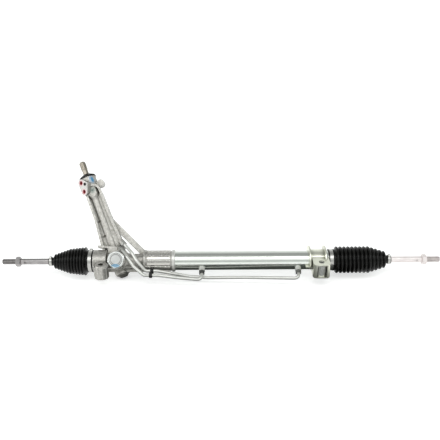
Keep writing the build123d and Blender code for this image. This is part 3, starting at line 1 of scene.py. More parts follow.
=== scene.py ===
import json
from math import cos, pi, radians, sin, sqrt

import bpy
from mathutils import Matrix, Vector

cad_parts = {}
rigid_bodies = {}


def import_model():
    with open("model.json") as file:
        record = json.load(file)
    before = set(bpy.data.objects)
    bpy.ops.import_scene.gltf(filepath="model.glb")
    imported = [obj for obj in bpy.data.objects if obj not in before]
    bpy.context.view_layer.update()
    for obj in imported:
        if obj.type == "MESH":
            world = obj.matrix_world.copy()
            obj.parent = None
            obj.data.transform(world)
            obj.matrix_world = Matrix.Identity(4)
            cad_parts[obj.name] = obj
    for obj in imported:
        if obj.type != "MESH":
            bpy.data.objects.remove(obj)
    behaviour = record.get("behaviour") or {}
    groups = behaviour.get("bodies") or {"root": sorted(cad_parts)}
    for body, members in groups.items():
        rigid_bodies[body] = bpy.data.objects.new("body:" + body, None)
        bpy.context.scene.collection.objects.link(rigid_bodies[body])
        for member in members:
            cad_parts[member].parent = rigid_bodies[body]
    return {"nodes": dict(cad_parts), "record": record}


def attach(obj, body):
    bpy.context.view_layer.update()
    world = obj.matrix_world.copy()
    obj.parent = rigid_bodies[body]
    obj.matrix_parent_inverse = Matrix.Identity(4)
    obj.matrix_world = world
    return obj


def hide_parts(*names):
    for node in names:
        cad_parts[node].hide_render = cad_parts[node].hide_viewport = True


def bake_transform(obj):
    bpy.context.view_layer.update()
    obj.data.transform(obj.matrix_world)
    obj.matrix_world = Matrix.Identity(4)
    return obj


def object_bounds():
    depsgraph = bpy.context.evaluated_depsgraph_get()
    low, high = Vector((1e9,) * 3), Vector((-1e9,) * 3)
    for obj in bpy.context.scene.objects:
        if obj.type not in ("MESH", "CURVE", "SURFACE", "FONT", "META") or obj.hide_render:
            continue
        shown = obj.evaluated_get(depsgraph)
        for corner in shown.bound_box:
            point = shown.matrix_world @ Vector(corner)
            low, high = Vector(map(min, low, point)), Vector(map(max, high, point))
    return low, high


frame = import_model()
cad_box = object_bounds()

# Dressed steering rack: every length is in metres, in the frame of the CAD model.
# X runs along the rack, Z up along the mounting bolts, Y to the rear.

RACK = Vector((0, 0.042, 0.019))                              # a point on the rack's axis
PINION = Vector((0.034, 0.055255, 0.009012))                  # the pinion's axis where it passes the rack
PINION_UP = Vector((-0.366501, 0.559939, 0.743065))           # up that axis, along the tower
PINION_RIGHT = Vector((0.930418, 0.220562, 0.292698))         # across the tower's front
TO_YOKE = Vector((0, -0.798636, 0.601815))                    # from the rack out through the yoke plug

# tie rods: where each ball sits along the rack, and which way its rod points
BALLS = {"left": (-0.048, -1), "right": (0.6325, 1)}
ROD_LENGTH = 0.205
ROD_R = 0.0075
NECK_R = 0.0065
NECK_LENGTH = 0.022
NECK_FLARE = 0.006
BALL_R = 0.013
THREAD_R = 0.007
THREAD_LENGTH = 0.046
THREAD_PITCH = 0.0015
THREAD_DEPTH = 0.0009
THREAD_STEPS_PER_TURN = 6
ROD_SEGMENTS = 48
FLATS_HALF = 0.00625
FLATS_WIDTH = 0.009
FLATS_TO_THREAD = 0.0015
SHARP_STEP = 0.0003

# boots: shoulder, spigot radius, length of the pleats, counts of full and falling pleats,
# and the crest radii of the first, the last full and the last falling pleat
BOOTS = {
    "left": (-0.025, 0.0244, 0.082, 6, 5, 0.0355, 0.0315, 0.0185),
    "right": (0.5575, 0.02375, 0.1275, 9, 4, 0.0335, 0.0335, 0.0215),
}
PLEATS_FROM = 0.017
PLEAT_DEPTHS = {"left": 0.0048, "right": 0.0062}
STEPS_PER_PLEAT = 12
CREST_ROUNDNESS = 0.75      # the lower, the fuller the crest and the tighter the root
BOOT_WALL = 0.002
SMALL_CUFF = 0.013
SMALL_CUFF_R = 0.0103

# band clamps
CLAMP_AT = 0.003
CLAMP_WIDTH = 0.0085
CLAMP_SHEET = 0.0008
SMALL_CLAMP_WIDTH = 0.005
SMALL_CLAMP_R = SMALL_CUFF_R + 0.0011
SMALL_CLAMP_FROM_END = 0.005
BIG_EAR_TURN = {"left": 62, "right": 300}
SMALL_EAR_TURN = 100
EAR_LIFT = 0.0042
EAR_HALF_WIDTH = 0.0045
EAR_WAIST = 0.35            # share by which the ear is narrower at its top
EAR_STEPS = 12


# ---------------------------------------------------------------- shader groups
def new_group(name, inputs, outputs):
    """Empty node group with these sockets, and its input and output nodes."""
    tree = bpy.data.node_groups.new(name, "ShaderNodeTree")
    for label, kind, default in inputs:
        socket = tree.interface.new_socket(label, in_out="INPUT", socket_type="NodeSocket" + kind)
        if default is not None:
            socket.default_value = default
    for label, kind in outputs:
        tree.interface.new_socket(label, in_out="OUTPUT", socket_type="NodeSocket" + kind)
    return tree, tree.nodes.new("NodeGroupInput"), tree.nodes.new("NodeGroupOutput")


def math_node(tree, operation, first, second=None, clamp=False):
    """Math node; each operand is a socket or a number."""
    node = tree.nodes.new("ShaderNodeMath")
    node.operation = operation
    node.use_clamp = clamp
    for slot, value in enumerate((first, second)):
        if value is None:
            continue
        if isinstance(value, (int, float)):
            node.inputs[slot].default_value = value
        else:
            tree.links.new(value, node.inputs[slot])
    return node.outputs[0]


def noise(tree, vector, scale, detail=2.0, roughness=0.5):
    """Noise texture's value on a vector, the scale being a socket or a number."""
    node = tree.nodes.new("ShaderNodeTexNoise")
    tree.links.new(vector, node.inputs["Vector"])
    if isinstance(scale, (int, float)):
        node.inputs["Scale"].default_value = scale
    else:
        tree.links.new(scale, node.inputs["Scale"])
    node.inputs["Detail"].default_value = detail
    node.inputs["Roughness"].default_value = roughness
    return node.outputs[0]


def make_patches():
    """Slow change over a surface, from 0 to 1, with soft edges."""
    tree, given, out = new_group(
        "patches", [("Vector", "Vector", None), ("Scale", "Float", 20.0), ("Contrast", "Float", 2.0)],
        [("Mask", "Float")])
    value = noise(tree, given.outputs["Vector"], given.outputs["Scale"], 4.0, 0.55)
    centred = math_node(tree, "SUBTRACT", value, 0.5)
    spread = math_node(tree, "MULTIPLY", centred, given.outputs["Contrast"])
    tree.links.new(math_node(tree, "ADD", spread, 0.5, clamp=True), out.inputs["Mask"])
    return tree


def make_streaks():
    """Fine drawn or turned lines; the stretch sets which way they run."""
    tree, given, out = new_group(
        "streaks", [("Vector", "Vector", None), ("Stretch", "Vector", (1, 1, 1)), ("Scale", "Float", 60.0)],
        [("Mask", "Float")])
    stretched = tree.nodes.new("ShaderNodeVectorMath")
    stretched.operation = "MULTIPLY"
    tree.links.new(given.outputs["Vector"], stretched.inputs[0])
    tree.links.new(given.outputs["Stretch"], stretched.inputs[1])
    value = noise(tree, stretched.outputs[0], given.outputs["Scale"], 5.0, 0.65)
    tree.links.new(value, out.inputs["Mask"])
    return tree


def make_cast_skin():
    """Height of a blasted casting: fine pits on a slow wave."""
    tree, given, out = new_group(
        "cast_skin", [("Vector", "Vector", None), ("Scale", "Float", 900.0)], [("Height", "Float")])
    fine = noise(tree, given.outputs["Vector"], given.outputs["Scale"], 3.0, 0.6)
    slow = noise(tree, given.outputs["Vector"], 70.0, 2.0, 0.5)
    pits = tree.nodes.new("ShaderNodeTexVoronoi")
    tree.links.new(given.outputs["Vector"], pits.inputs["Vector"])
    tree.links.new(math_node(tree, "MULTIPLY", given.outputs["Scale"], 0.6), pits.inputs["Scale"])
    grains = math_node(tree, "MULTIPLY", pits.outputs["Distance"], 0.5)
    wave = math_node(tree, "MULTIPLY", slow, 0.6)
    total = math_node(tree, "ADD", math_node(tree, "ADD", fine, grains), wave)
    tree.links.new(total, out.inputs["Height"])
    return tree


def vector_node(tree, operation, first, second):
    """Vector math node on two sockets."""
    node = tree.nodes.new("ShaderNodeVectorMath")
    node.operation = operation
    tree.links.new(first, node.inputs[0])
    tree.links.new(second, node.inputs[1])
    return node.outputs["Value"] if operation in ("DISTANCE", "DOT_PRODUCT") else node.outputs["Vector"]


def make_dab():
    """Mask of a dab of paint or a dark mark, ragged at its edge and drawn out along one direction."""
    tree, given, out = new_group(
        "paint_dab", [("Vector", "Vector", None), ("Centre", "Vector", (0, 0, 0)),
                      ("Along", "Vector", (0, 0, 0)), ("Radius", "Float", 0.01),
                      ("Ragged", "Float", 0.003), ("Strength", "Float", 1.0)],
        [("Mask", "Float")])
    away = vector_node(tree, "SUBTRACT", given.outputs["Vector"], given.outputs["Centre"])
    shift = vector_node(tree, "DOT_PRODUCT", away, given.outputs["Along"])
    scaled = tree.nodes.new("ShaderNodeVectorMath")
    scaled.operation = "SCALE"
    tree.links.new(given.outputs["Along"], scaled.inputs[0])
    tree.links.new(shift, scaled.inputs["Scale"])
    gathered = tree.nodes.new("ShaderNodeVectorMath")
    gathered.operation = "LENGTH"
    tree.links.new(vector_node(tree, "SUBTRACT", away, scaled.outputs["Vector"]), gathered.inputs[0])
    centred = math_node(tree, "SUBTRACT", noise(tree, given.outputs["Vector"], 260.0, 3.0), 0.5)
    edge = math_node(tree, "MULTIPLY", centred, given.outputs["Ragged"])
    reach = math_node(tree, "ADD", gathered.outputs["Value"], edge)
    inside = math_node(tree, "SUBTRACT", given.outputs["Radius"], reach)
    mask = math_node(tree, "MULTIPLY", inside, 900.0, clamp=True)
    tree.links.new(math_node(tree, "MULTIPLY", mask, given.outputs["Strength"]), out.inputs["Mask"])
    return tree


def make_hollow_shade():
    """Mask of the hollows and channels, found by ambient occlusion and broken up by noise, where the tone is
    darkened as painted shade.
    """
    tree, given, out = new_group(
        "painted_hollow_shade", [("Vector", "Vector", None), ("Reach", "Float", 0.012), ("Amount", "Float", 1.5)],
        [("Mask", "Float")])
    hollow = tree.nodes.new("ShaderNodeAmbientOcclusion")
    hollow.samples = 8
    hollow.only_local = True
    tree.links.new(given.outputs["Reach"], hollow.inputs["Distance"])
    depth = math_node(tree, "SUBTRACT", 1.0, hollow.outputs["AO"])
    broken = math_node(tree, "ADD", noise(tree, given.outputs["Vector"], 90.0, 4.0, 0.6), 0.35)
    laid = math_node(tree, "MULTIPLY", depth, broken)
    shaded = math_node(tree, "MULTIPLY", laid, given.outputs["Amount"], clamp=True)
    tree.links.new(shaded, out.inputs["Mask"])
    return tree


def make_rub():
    """Mask of the corners of a piece, broken up as rubbed corners are."""
    tree, given, out = new_group(
        "rubbed_edges", [("Vector", "Vector", None), ("Width", "Float", 0.001)], [("Mask", "Float")])
    bevel = tree.nodes.new("ShaderNodeBevel")
    bevel.samples = 4
    tree.links.new(given.outputs["Width"], bevel.inputs["Radius"])
    geometry = tree.nodes.new("ShaderNodeNewGeometry")
    dot = tree.nodes.new("ShaderNodeVectorMath")
    dot.operation = "DOT_PRODUCT"
    tree.links.new(bevel.outputs[0], dot.inputs[0])
    tree.links.new(geometry.outputs["Normal"], dot.inputs[1])
    corner = math_node(tree, "MULTIPLY", math_node(tree, "SUBTRACT", 1.0, dot.outputs["Value"]), 6.0)
    broken = math_node(tree, "ADD", noise(tree, given.outputs["Vector"], 180.0, 3.0), 0.25)
    tree.links.new(math_node(tree, "MULTIPLY", corner, broken, clamp=True), out.inputs["Mask"])
    return tree


PATCHES = make_patches()
STREAKS = make_streaks()
CAST_SKIN = make_cast_skin()
PAINT_DAB = make_dab()
RUB = make_rub()
HOLLOW_SHADE = make_hollow_shade()


# ---------------------------------------------------------------- materials
def grouped(tree, group, vector, **values):
    """Group node on a vector; a value is a number, a tuple or a socket."""
    node = tree.nodes.new("ShaderNodeGroup")
    node.node_tree = group
    tree.links.new(vector, node.inputs["Vector"])
    for label, value in values.items():
        node.inputs[label].default_value = value
    return node.outputs[0]


def mix(tree, mask, first, second):
    """Colour mixed from two colours, each a socket or a tuple."""
    node = tree.nodes.new("ShaderNodeMix")
    node.data_type = "RGBA"
    tree.links.new(mask, node.inputs["Factor"])
    for label, value in (("A", first), ("B", second)):
        socket = next(s for s in node.inputs if s.name == label and s.type == "RGBA")
        if isinstance(value, tuple):
            socket.default_value = (*value, 1.0)
        else:
            tree.links.new(value, socket)
    return next(s for s in node.outputs if s.type == "RGBA")


def laid_marks(tree, where, tone, marks):
    """Tone with the marks laid over it, and the mask that they cover, or None."""
    covered = None
    for given in marks:
        values = dict(given)
        colour = values.pop("Colour")
        mask = grouped(tree, PAINT_DAB, where, **values)
        tone = mix(tree, mask, tone, colour)
        covered = mask if covered is None else math_node(tree, "MAXIMUM", covered, mask)
    return tone, covered


def between(tree, where, x_from, x_to):
    """Mask of a stretch along the rack."""
    place = tree.nodes.new("ShaderNodeSeparateXYZ")
    tree.links.new(where, place.inputs[0])
    after = math_node(tree, "GREATER_THAN", place.outputs["X"], x_from)
    before = math_node(tree, "LESS_THAN", place.outputs["X"], x_to)
    return math_node(tree, "MULTIPLY", after, before)


def relief(tree, height, depth, round_edges):
    """Normal with softened corners and the height's relief, or None where there is neither."""
    normal = None
    if round_edges:
        bevel = tree.nodes.new("ShaderNodeBevel")
        bevel.samples = 6
        bevel.inputs["Radius"].default_value = round_edges
        normal = bevel.outputs[0]
    if height is not None:
        bump = tree.nodes.new("ShaderNodeBump")
        bump.inputs["Distance"].default_value = depth
        bump.inputs["Strength"].default_value = 1.0
        tree.links.new(height, bump.inputs["Height"])
        if normal:
            tree.links.new(normal, bump.inputs["Normal"])
        normal = bump.outputs[0]
    return normal


def surface(name, colour, second, metallic, rough, spread, patch_scale, skin=None, depth=0.0,
            stretch=None, round_edges=0.0, rubbed=None, hollow_shade=None, marks=(), specular=0.5,
            turned_at=None):
    """Procedural finish of one kind of piece.

    It has two tones in patches, a cast skin (the skin's scale) or drawn lines (their stretch), both
    with a depth in metres, softened corners, rubbed corners of a paler tone, painted shade in the
    hollows found by ambient occlusion (its reach, amount and tone) and marks. The roughness swings
    by the spread. turned_at gives the stretch of x that is turned smooth, and how much smoother it is.
    """
    material = bpy.data.materials.new(name)
    material.use_nodes = True
    tree = material.node_tree
    shader = tree.nodes["Principled BSDF"]
    where = tree.nodes.new("ShaderNodeTexCoord").outputs["Object"]
    shader.inputs["Metallic"].default_value = metallic
    shader.inputs["Specular IOR Level"].default_value = specular

    patches = grouped(tree, PATCHES, where, Scale=patch_scale, Contrast=2.2)
    tone = mix(tree, patches, colour, second)
    height = grouped(tree, CAST_SKIN, where, Scale=skin) if skin else None
    if stretch:
        lines = grouped(tree, STREAKS, where, Stretch=stretch, Scale=220.0)
        darker = tuple(c * 0.72 for c in second)
        tone = mix(tree, math_node(tree, "MULTIPLY", lines, 0.55), tone, darker)
        height = height or lines
    if turned_at:
        turned_from, turned_to, smoother = turned_at
        machined = between(tree, where, turned_from, turned_to)
        tone = mix(tree, math_node(tree, "MULTIPLY", machined, 0.8), tone, colour)
        height = math_node(tree, "MULTIPLY", height, math_node(tree, "SUBTRACT", 1.0, machined))
    # painted shade: the tone darkens in hollows, channels and pleat roots found by ambient occlusion
    if hollow_shade:
        reach, amount, shade_tone = hollow_shade
        shaded = grouped(tree, HOLLOW_SHADE, where, Reach=reach, Amount=amount)
        tone = mix(tree, shaded, tone, shade_tone)
    if rubbed:
        corners = grouped(tree, RUB, where, Width=0.0012)
        tone = mix(tree, corners, tone, rubbed)
    tone, covered = laid_marks(tree, where, tone, marks)
    tree.links.new(tone, shader.inputs["Base Color"])
    if covered is not None:
        bare = math_node(tree, "MULTIPLY", math_node(tree, "SUBTRACT", 1.0, covered), metallic)
        tree.links.new(bare, shader.inputs["Metallic"])

    uneven = noise(tree, where, 140.0, 4.0, 0.6)
    swing = math_node(tree, "MULTIPLY", math_node(tree, "SUBTRACT", uneven, 0.5), spread)
    if turned_at:
        swing = math_node(tree, "SUBTRACT", swing, math_node(tree, "MULTIPLY", machined, smoother))
    tree.links.new(math_node(tree, "ADD", swing, rough, clamp=True), shader.inputs["Roughness"])
    normal = relief(tree, height, depth, round_edges)
    if normal:
        tree.links.new(normal, shader.inputs["Normal"])
    return material


def mark(centre, radius, ragged, strength, colour, along=(0, 0, 0)):
    """Values of one dab or dark mark; along draws it out in that direction, the more the longer it is."""
    return dict(Centre=tuple(centre), Along=tuple(along), Radius=radius, Ragged=ragged, Strength=strength,
                Colour=colour)


# the sleeve of the casting that is turned to take the tube's collar
SLEEVE_FROM = 0.110
SLEEVE_TO = 0.166
SLEEVE_SMOOTHER = 0.25

# hose ports in the side of the head: their axes and the direction they open in
PORT_OUT = Vector((-0.5337, -0.7807, 0.3251)).normalized()
UPPER_PORT = Vector((-0.06117, 0.15717, 0.18134))
LOWER_PORT = Vector((-0.05238, 0.14373, 0.16351))
PLATE_BOLT = Vector((-0.04824, 0.15173, 0.18106))

# blue inspection paint on the head and on the yoke's lock nut
BLUE = (0.05, 0.22, 0.40)
SMEARED_BLUE = (0.25, 0.42, 0.62)
PALE_BLUE = (0.10, 0.32, 0.52)
YOKE_NUT_FACE = Vector((PINION.x, RACK.y, RACK.z)) + TO_YOKE * 0.032
DOWN_YOKE_FACE = Vector((0, -TO_YOKE.z, TO_YOKE.y))
blue_on_head = mark(
    (-0.0362, 0.1680, 0.1870), radius=0.0040, ragged=0.002, strength=1.0, colour=BLUE, along=PINION_UP * 0.7)
blue_smear = mark(
    (-0.0378, 0.1680, 0.1870), radius=0.0078, ragged=0.003, strength=0.40, colour=SMEARED_BLUE,
    along=PINION_UP * 0.6)
blue_on_nut = mark(
    YOKE_NUT_FACE + DOWN_YOKE_FACE * 0.0145, radius=0.0052, ragged=0.004, strength=0.7, colour=PALE_BLUE,
    along=(0.75, 0, 0))

# pressed-in plug of the oil way under the head
RELIEF_PLUG = Vector((-0.0350, 0.1502, 0.1647))
plug_rim = mark(RELIEF_PLUG, radius=0.0085, ragged=0.004, strength=0.5, colour=(0.20, 0.25, 0.22))
plug_centre = mark(RELIEF_PLUG, radius=0.0032, ragged=0.001, strength=0.85, colour=(0.10, 0.14, 0.13))

# painted shadow of two notches across the front of the tower: dark marks laid on the casting's tone
NOTCH_SHADOW = dict(
    radius=0.0036, ragged=0.0014, strength=1.0, colour=(0.07, 0.062, 0.05), along=PINION_RIGHT * 0.75)
upper_notch_shadow = mark((-0.0138, 0.1072, 0.0972), **NOTCH_SHADOW)
lower_notch_shadow = mark((-0.0003, 0.0846, 0.0671), **NOTCH_SHADOW)

# the union nuts on the tube are darker than those on the casting
left_port_nut = mark(
    (0.2445, 0.0084, 0.0047), radius=0.014, ragged=0.001, strength=0.95, colour=(0.020, 0.022, 0.020))
right_port_nut = mark(
    (0.4820, 0.0084, 0.0047), radius=0.014, ragged=0.001, strength=0.80, colour=(0.05, 0.053, 0.048))

# pink tinge of the white plate round its plugs
TINGE = dict(radius=0.0082, ragged=0.002, strength=0.7, colour=(0.78, 0.50, 0.53), along=PORT_OUT)
pink_upper = mark(UPPER_PORT, **TINGE)
pink_lower = mark(LOWER_PORT, **TINGE)

# tone of the painted shade in the hollows of the casting and the nuts
HOLLOW_SHADE_GREY = (0.17, 0.165, 0.145)

SURFACES = {
    "cast_aluminium": dict(
        colour=(0.55, 0.535, 0.505), second=(0.26, 0.25, 0.23), metallic=0.85, rough=0.38, spread=0.24,
        patch_scale=210.0, skin=800.0, depth=0.00045, round_edges=0.0014, rubbed=(0.84, 0.84, 0.81),
        hollow_shade=(0.013, 1.8, HOLLOW_SHADE_GREY),
        marks=(blue_smear, blue_on_head, upper_notch_shadow, lower_notch_shadow, plug_rim, plug_centre),
        turned_at=(SLEEVE_FROM, SLEEVE_TO, SLEEVE_SMOOTHER)),
    "bright_zinc": dict(
        colour=(0.80, 0.82, 0.79), second=(0.70, 0.73, 0.68), metallic=1.0, rough=0.20, spread=0.12,
        patch_scale=14.0, depth=0.00004, stretch=(0.12, 2.0, 2.0)),
    "zinc_steel": dict(
        colour=(0.73, 0.73, 0.70), second=(0.62, 0.62, 0.59), metallic=0.7, rough=0.38, spread=0.12,
        patch_scale=30.0, depth=0.00002, stretch=(0.2, 2.0, 2.0), round_edges=0.0005),
    "passivated_steel": dict(
        colour=(0.82, 0.82, 0.72), second=(0.66, 0.67, 0.57), metallic=1.0, rough=0.32, spread=0.20,
        patch_scale=40.0, skin=500.0, depth=0.00012, round_edges=0.0008, rubbed=(0.80, 0.81, 0.74),
        hollow_shade=(0.012, 1.3, (0.12, 0.12, 0.09))),
    "bush_rubber": dict(
        colour=(0.030, 0.030, 0.028), second=(0.045, 0.044, 0.040), metallic=0.0, rough=0.62, spread=0.20,
        patch_scale=60.0, skin=900.0, depth=0.0002, round_edges=0.0005),
    # pale and only partly metallic: painted light that lifts the mount's bush shell out of the shade of the
    # bracket's cover
    "sleeve_steel": dict(
        colour=(0.90, 0.91, 0.89), second=(0.66, 0.67, 0.64), metallic=0.75, rough=0.24, spread=0.14,
        patch_scale=60.0, depth=0.00008, stretch=(3.0, 3.0, 0.05), round_edges=0.0005),
    "plated_nut": dict(
        colour=(0.60, 0.61, 0.60), second=(0.48, 0.49, 0.48), metallic=1.0, rough=0.27, spread=0.16,
        patch_scale=60.0, skin=700.0, depth=0.00006, round_edges=0.0008, rubbed=(0.88, 0.88, 0.86),
        hollow_shade=(0.006, 1.6, (0.16, 0.16, 0.15)), marks=(blue_on_nut,)),
    # darker copy of the plated nut's finish for the recessed yoke plug: painted shade of the recess
    "shaded_plug_face": dict(
        colour=(0.50, 0.50, 0.49), second=(0.38, 0.385, 0.38), metallic=1.0, rough=0.42, spread=0.18,
        patch_scale=60.0, skin=800.0, depth=0.00008, round_edges=0.0006,
        hollow_shade=(0.008, 2.0, (0.14, 0.14, 0.135)), marks=(blue_on_nut,)),
    "dark_steel": dict(
        colour=(0.13, 0.13, 0.12), second=(0.22, 0.21, 0.19), metallic=0.8, rough=0.48, spread=0.22,
        patch_scale=50.0, skin=700.0, depth=0.00012, round_edges=0.0006, rubbed=(0.42, 0.41, 0.39)),
    "bronze": dict(
        colour=(0.52, 0.36, 0.18), second=(0.40, 0.27, 0.13), metallic=1.0, rough=0.35, spread=0.14,
        patch_scale=60.0, skin=900.0, depth=0.00006),
    "black_rubber": dict(
        colour=(0.0032, 0.0031, 0.0027), second=(0.0070, 0.0067, 0.0060), metallic=0.0, rough=0.27,
        spread=0.10, patch_scale=40.0, skin=1300.0, depth=0.00005, specular=0.17,
        hollow_shade=(0.007, 2.6, (0.0006, 0.0006, 0.0005))),
    "clamp_steel": dict(
        colour=(0.60, 0.595, 0.57), second=(0.46, 0.455, 0.435), metallic=1.0, rough=0.30, spread=0.16,
        patch_scale=60.0, depth=0.00005, stretch=(2.0, 0.3, 0.3), round_edges=0.0003),
    "white_plastic": dict(
        colour=(0.66, 0.65, 0.63), second=(0.56, 0.54, 0.52), metallic=0.0, rough=0.42, spread=0.14,
        patch_scale=50.0, skin=900.0, depth=0.00008, round_edges=0.0007, rubbed=(0.84, 0.83, 0.81),
        hollow_shade=(0.006, 1.2, (0.30, 0.27, 0.25)), marks=(pink_upper, pink_lower)),
    "red_plastic": dict(
        colour=(0.30, 0.018, 0.020), second=(0.20, 0.010, 0.014), metallic=0.0, rough=0.36, spread=0.14,
        patch_scale=80.0, skin=900.0, depth=0.00006, round_edges=0.0005, rubbed=(0.55, 0.22, 0.24)),
    "black_plastic": dict(
        colour=(0.008, 0.008, 0.008), second=(0.016, 0.016, 0.016), metallic=0.0, rough=0.40, spread=0.16,
        patch_scale=60.0, skin=900.0, depth=0.00008, round_edges=0.0006, rubbed=(0.05, 0.05, 0.05),
        specular=0.3),
    "dull_nut": dict(
        colour=(0.42, 0.42, 0.40), second=(0.34, 0.34, 0.32), metallic=0.6, rough=0.46, spread=0.18,
        patch_scale=60.0, skin=800.0, depth=0.00008, round_edges=0.0006, rubbed=(0.62, 0.62, 0.60),
        hollow_shade=(0.006, 1.4, HOLLOW_SHADE_GREY), marks=(left_port_nut, right_port_nut)),
    "spring_steel": dict(
        colour=(0.30, 0.30, 0.30), second=(0.20, 0.20, 0.20), metallic=1.0, rough=0.34, spread=0.14,
        patch_scale=60.0, depth=0.00004, stretch=(1.0, 1.0, 0.2)),
    "ground_steel": dict(
        colour=(0.62, 0.62, 0.62), second=(0.52, 0.52, 0.52), metallic=1.0, rough=0.16, spread=0.10,
        patch_scale=40.0, depth=0.00003, stretch=(0.3, 2.0, 2.0)),
    "ptfe": dict(
        colour=(0.72, 0.69, 0.60), second=(0.64, 0.60, 0.50), metallic=0.0, rough=0.45, spread=0.12,
        patch_scale=70.0, skin=900.0, depth=0.00005),
    "joint_steel": dict(
        colour=(0.40, 0.40, 0.39), second=(0.30, 0.30, 0.29), metallic=1.0, rough=0.36, spread=0.18,
        patch_scale=50.0, depth=0.00005, stretch=(0.4, 2.0, 2.0), round_edges=0.0005),
    "rod_steel": dict(
        colour=(0.46, 0.44, 0.44), second=(0.30, 0.285, 0.285), metallic=1.0, rough=0.34, spread=0.22,
        patch_scale=70.0, depth=0.00006, stretch=(0.25, 2.0, 2.0), round_edges=0.0004,
        hollow_shade=(0.006, 1.6, (0.07, 0.065, 0.06))),
    # paler copy of the rod steel for the right rod and its jam nut: a brighter plating, and painted light for
    # the stronger light on that end
    "lit_rod_steel": dict(
        colour=(0.95, 0.90, 0.89), second=(0.80, 0.73, 0.72), metallic=0.45, rough=0.46, spread=0.16,
        patch_scale=70.0, depth=0.00004, stretch=(0.25, 2.0, 2.0), round_edges=0.0004,
        hollow_shade=(0.006, 2.0, (0.24, 0.20, 0.19))),
    "input_steel": dict(
        colour=(0.36, 0.33, 0.285), second=(0.26, 0.235, 0.195), metallic=1.0, rough=0.36, spread=0.20,
        patch_scale=60.0, depth=0.00006, stretch=(1.2, 1.2, 0.4), round_edges=0.0003),
}
FINISHES = {name: surface(name, **values) for name, values in SURFACES.items()}


def finish_node(node, slot):
    """Gives a CAD node its finish."""
    mesh = frame["nodes"][node].data
    mesh.materials.clear()
    mesh.materials.append(FINISHES[slot])


for entry in frame["record"]["subparts"]:
    finish_node(entry["node"], entry["material_slot"])
# the yoke plug takes the darker copy of the plated nut, painted shade of its recess
finish_node("yoke_plug", "shaded_plug_face")
finish_node("right_jam_nut", "lit_rod_steel")
finish_node("pipe_union_nuts", "dull_nut")


# ---------------------------------------------------------------- mesh helpers
def new_piece(name, points, faces, slot, body=None, smooth=True):
    """Mesh object from points and faces, finished from a slot and riding on a body."""
    mesh = bpy.data.meshes.new(name)
    mesh.from_pydata([tuple(p) for p in points], [], faces)
    mesh.validate()
    mesh.materials.append(FINISHES[slot])
    if smooth:
        mesh.shade_smooth()
    piece = bpy.data.objects.new(name, mesh)
    bpy.context.scene.collection.objects.link(piece)
    if body:
        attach(piece, body)
    return piece


def ring_frame(along):
    """Two directions square to one another and to a third."""
    along = along.normalized()
    first = along.orthogonal().normalized()
    return first, along.cross(first)


def skin_rings(rings, loop=False):
    """Points and faces of rings of equal count laid one after another, capped or closed into a loop."""
    count = len(rings[0])
    points = [p for ring in rings for p in ring]
    faces = []
    last = len(rings) if loop else len(rings) - 1
    for row in range(last):
        here = row * count
        after = (row + 1) % len(rings) * count
        for k in range(count):
            near = (k + 1) % count
            faces.append((here + k, here + near, after + near, after + k))
    if not loop:
        faces.append(tuple(reversed(range(count))))
        faces.append(tuple(range((len(rings) - 1) * count, len(rings) * count)))
    return points, faces


def turned_rings(profile, origin, along, first, second, segments):
    """Rings of a turned piece from (distance along, radius) pairs about an axis."""
    turns = [2 * pi * k / segments for k in range(segments)]
    around = [first * cos(turn) + second * sin(turn) for turn in turns]
    return [[origin + along * distance + out * radius for out in around] for distance, radius in profile]


def turned(name, profile, origin, along, slot, body, segments=64, loop=False):
    """Turned piece from (distance along, radius) pairs about an axis."""
    first, second = ring_frame(along)
    rings = turned_rings(profile, origin, along.normalized(), first, second, segments)
    points, faces = skin_rings(rings, loop=loop)
    return new_piece(name, points, faces, slot, body)


# ---------------------------------------------------------------- boots
def boot_profile(spigot_r, length, full, falling, first_r, full_r, last_r, depth):
    """(distance, radius) pairs round a boot's wall: big cuff, pleats, small cuff and the inside."""
    peaks = [first_r + (full_r - first_r) * i / (full - 1) for i in range(full)]
    peaks += [full_r + (last_r - full_r) * (i + 1) / falling for i in range(falling)]
    pleat = length / len(peaks)
    cuff_r = spigot_r + BOOT_WALL
    end = PLEATS_FROM + length
    band_end = CLAMP_AT + CLAMP_WIDTH
    wall = [(0.0006, spigot_r + 0.0001), (0.0006, cuff_r + 0.0010), (0.0011, cuff_r + 0.0015),
            (CLAMP_AT - 0.0010, cuff_r + 0.0015), (CLAMP_AT - 0.0005, cuff_r + 0.0010),
            (CLAMP_AT - 0.0004, cuff_r), (band_end + 0.0004, cuff_r),
            (band_end + 0.0008, cuff_r + 0.0012), (band_end + 0.0018, cuff_r + 0.0016),
            (PLEATS_FROM - 0.0016, cuff_r + 0.0006)]
    root_before = cuff_r + 0.0006
    for i, peak in enumerate(peaks):
        root_after = peak - depth if i < len(peaks) - 1 else SMALL_CUFF_R
        for step in range(STEPS_PER_PLEAT):
            share = step / STEPS_PER_PLEAT
            root = root_before + (root_after - root_before) * share
            crest = abs(sin(pi * share)) ** CREST_ROUNDNESS
            wall.append((PLEATS_FROM + (i + share) * pleat, root + (peak - root) * crest))
        root_before = root_after
    cuff_end = end + SMALL_CUFF
    inner_r = ROD_R + 0.0003
    wall += [(end, SMALL_CUFF_R), (cuff_end - 0.0095, SMALL_CUFF_R),
             (cuff_end - 0.0086, SMALL_CUFF_R + 0.0001), (cuff_end - 0.0015, SMALL_CUFF_R + 0.0001),
             (cuff_end - 0.0012, SMALL_CUFF_R + 0.0006), (cuff_end - 0.0003, SMALL_CUFF_R + 0.0006),
             (cuff_end, SMALL_CUFF_R - 0.0004), (cuff_end, inner_r), (end, inner_r)]
    wall += [(PLEATS_FROM + full * pleat, full_r - depth - BOOT_WALL), (PLEATS_FROM, spigot_r + 0.0001)]
    return wall


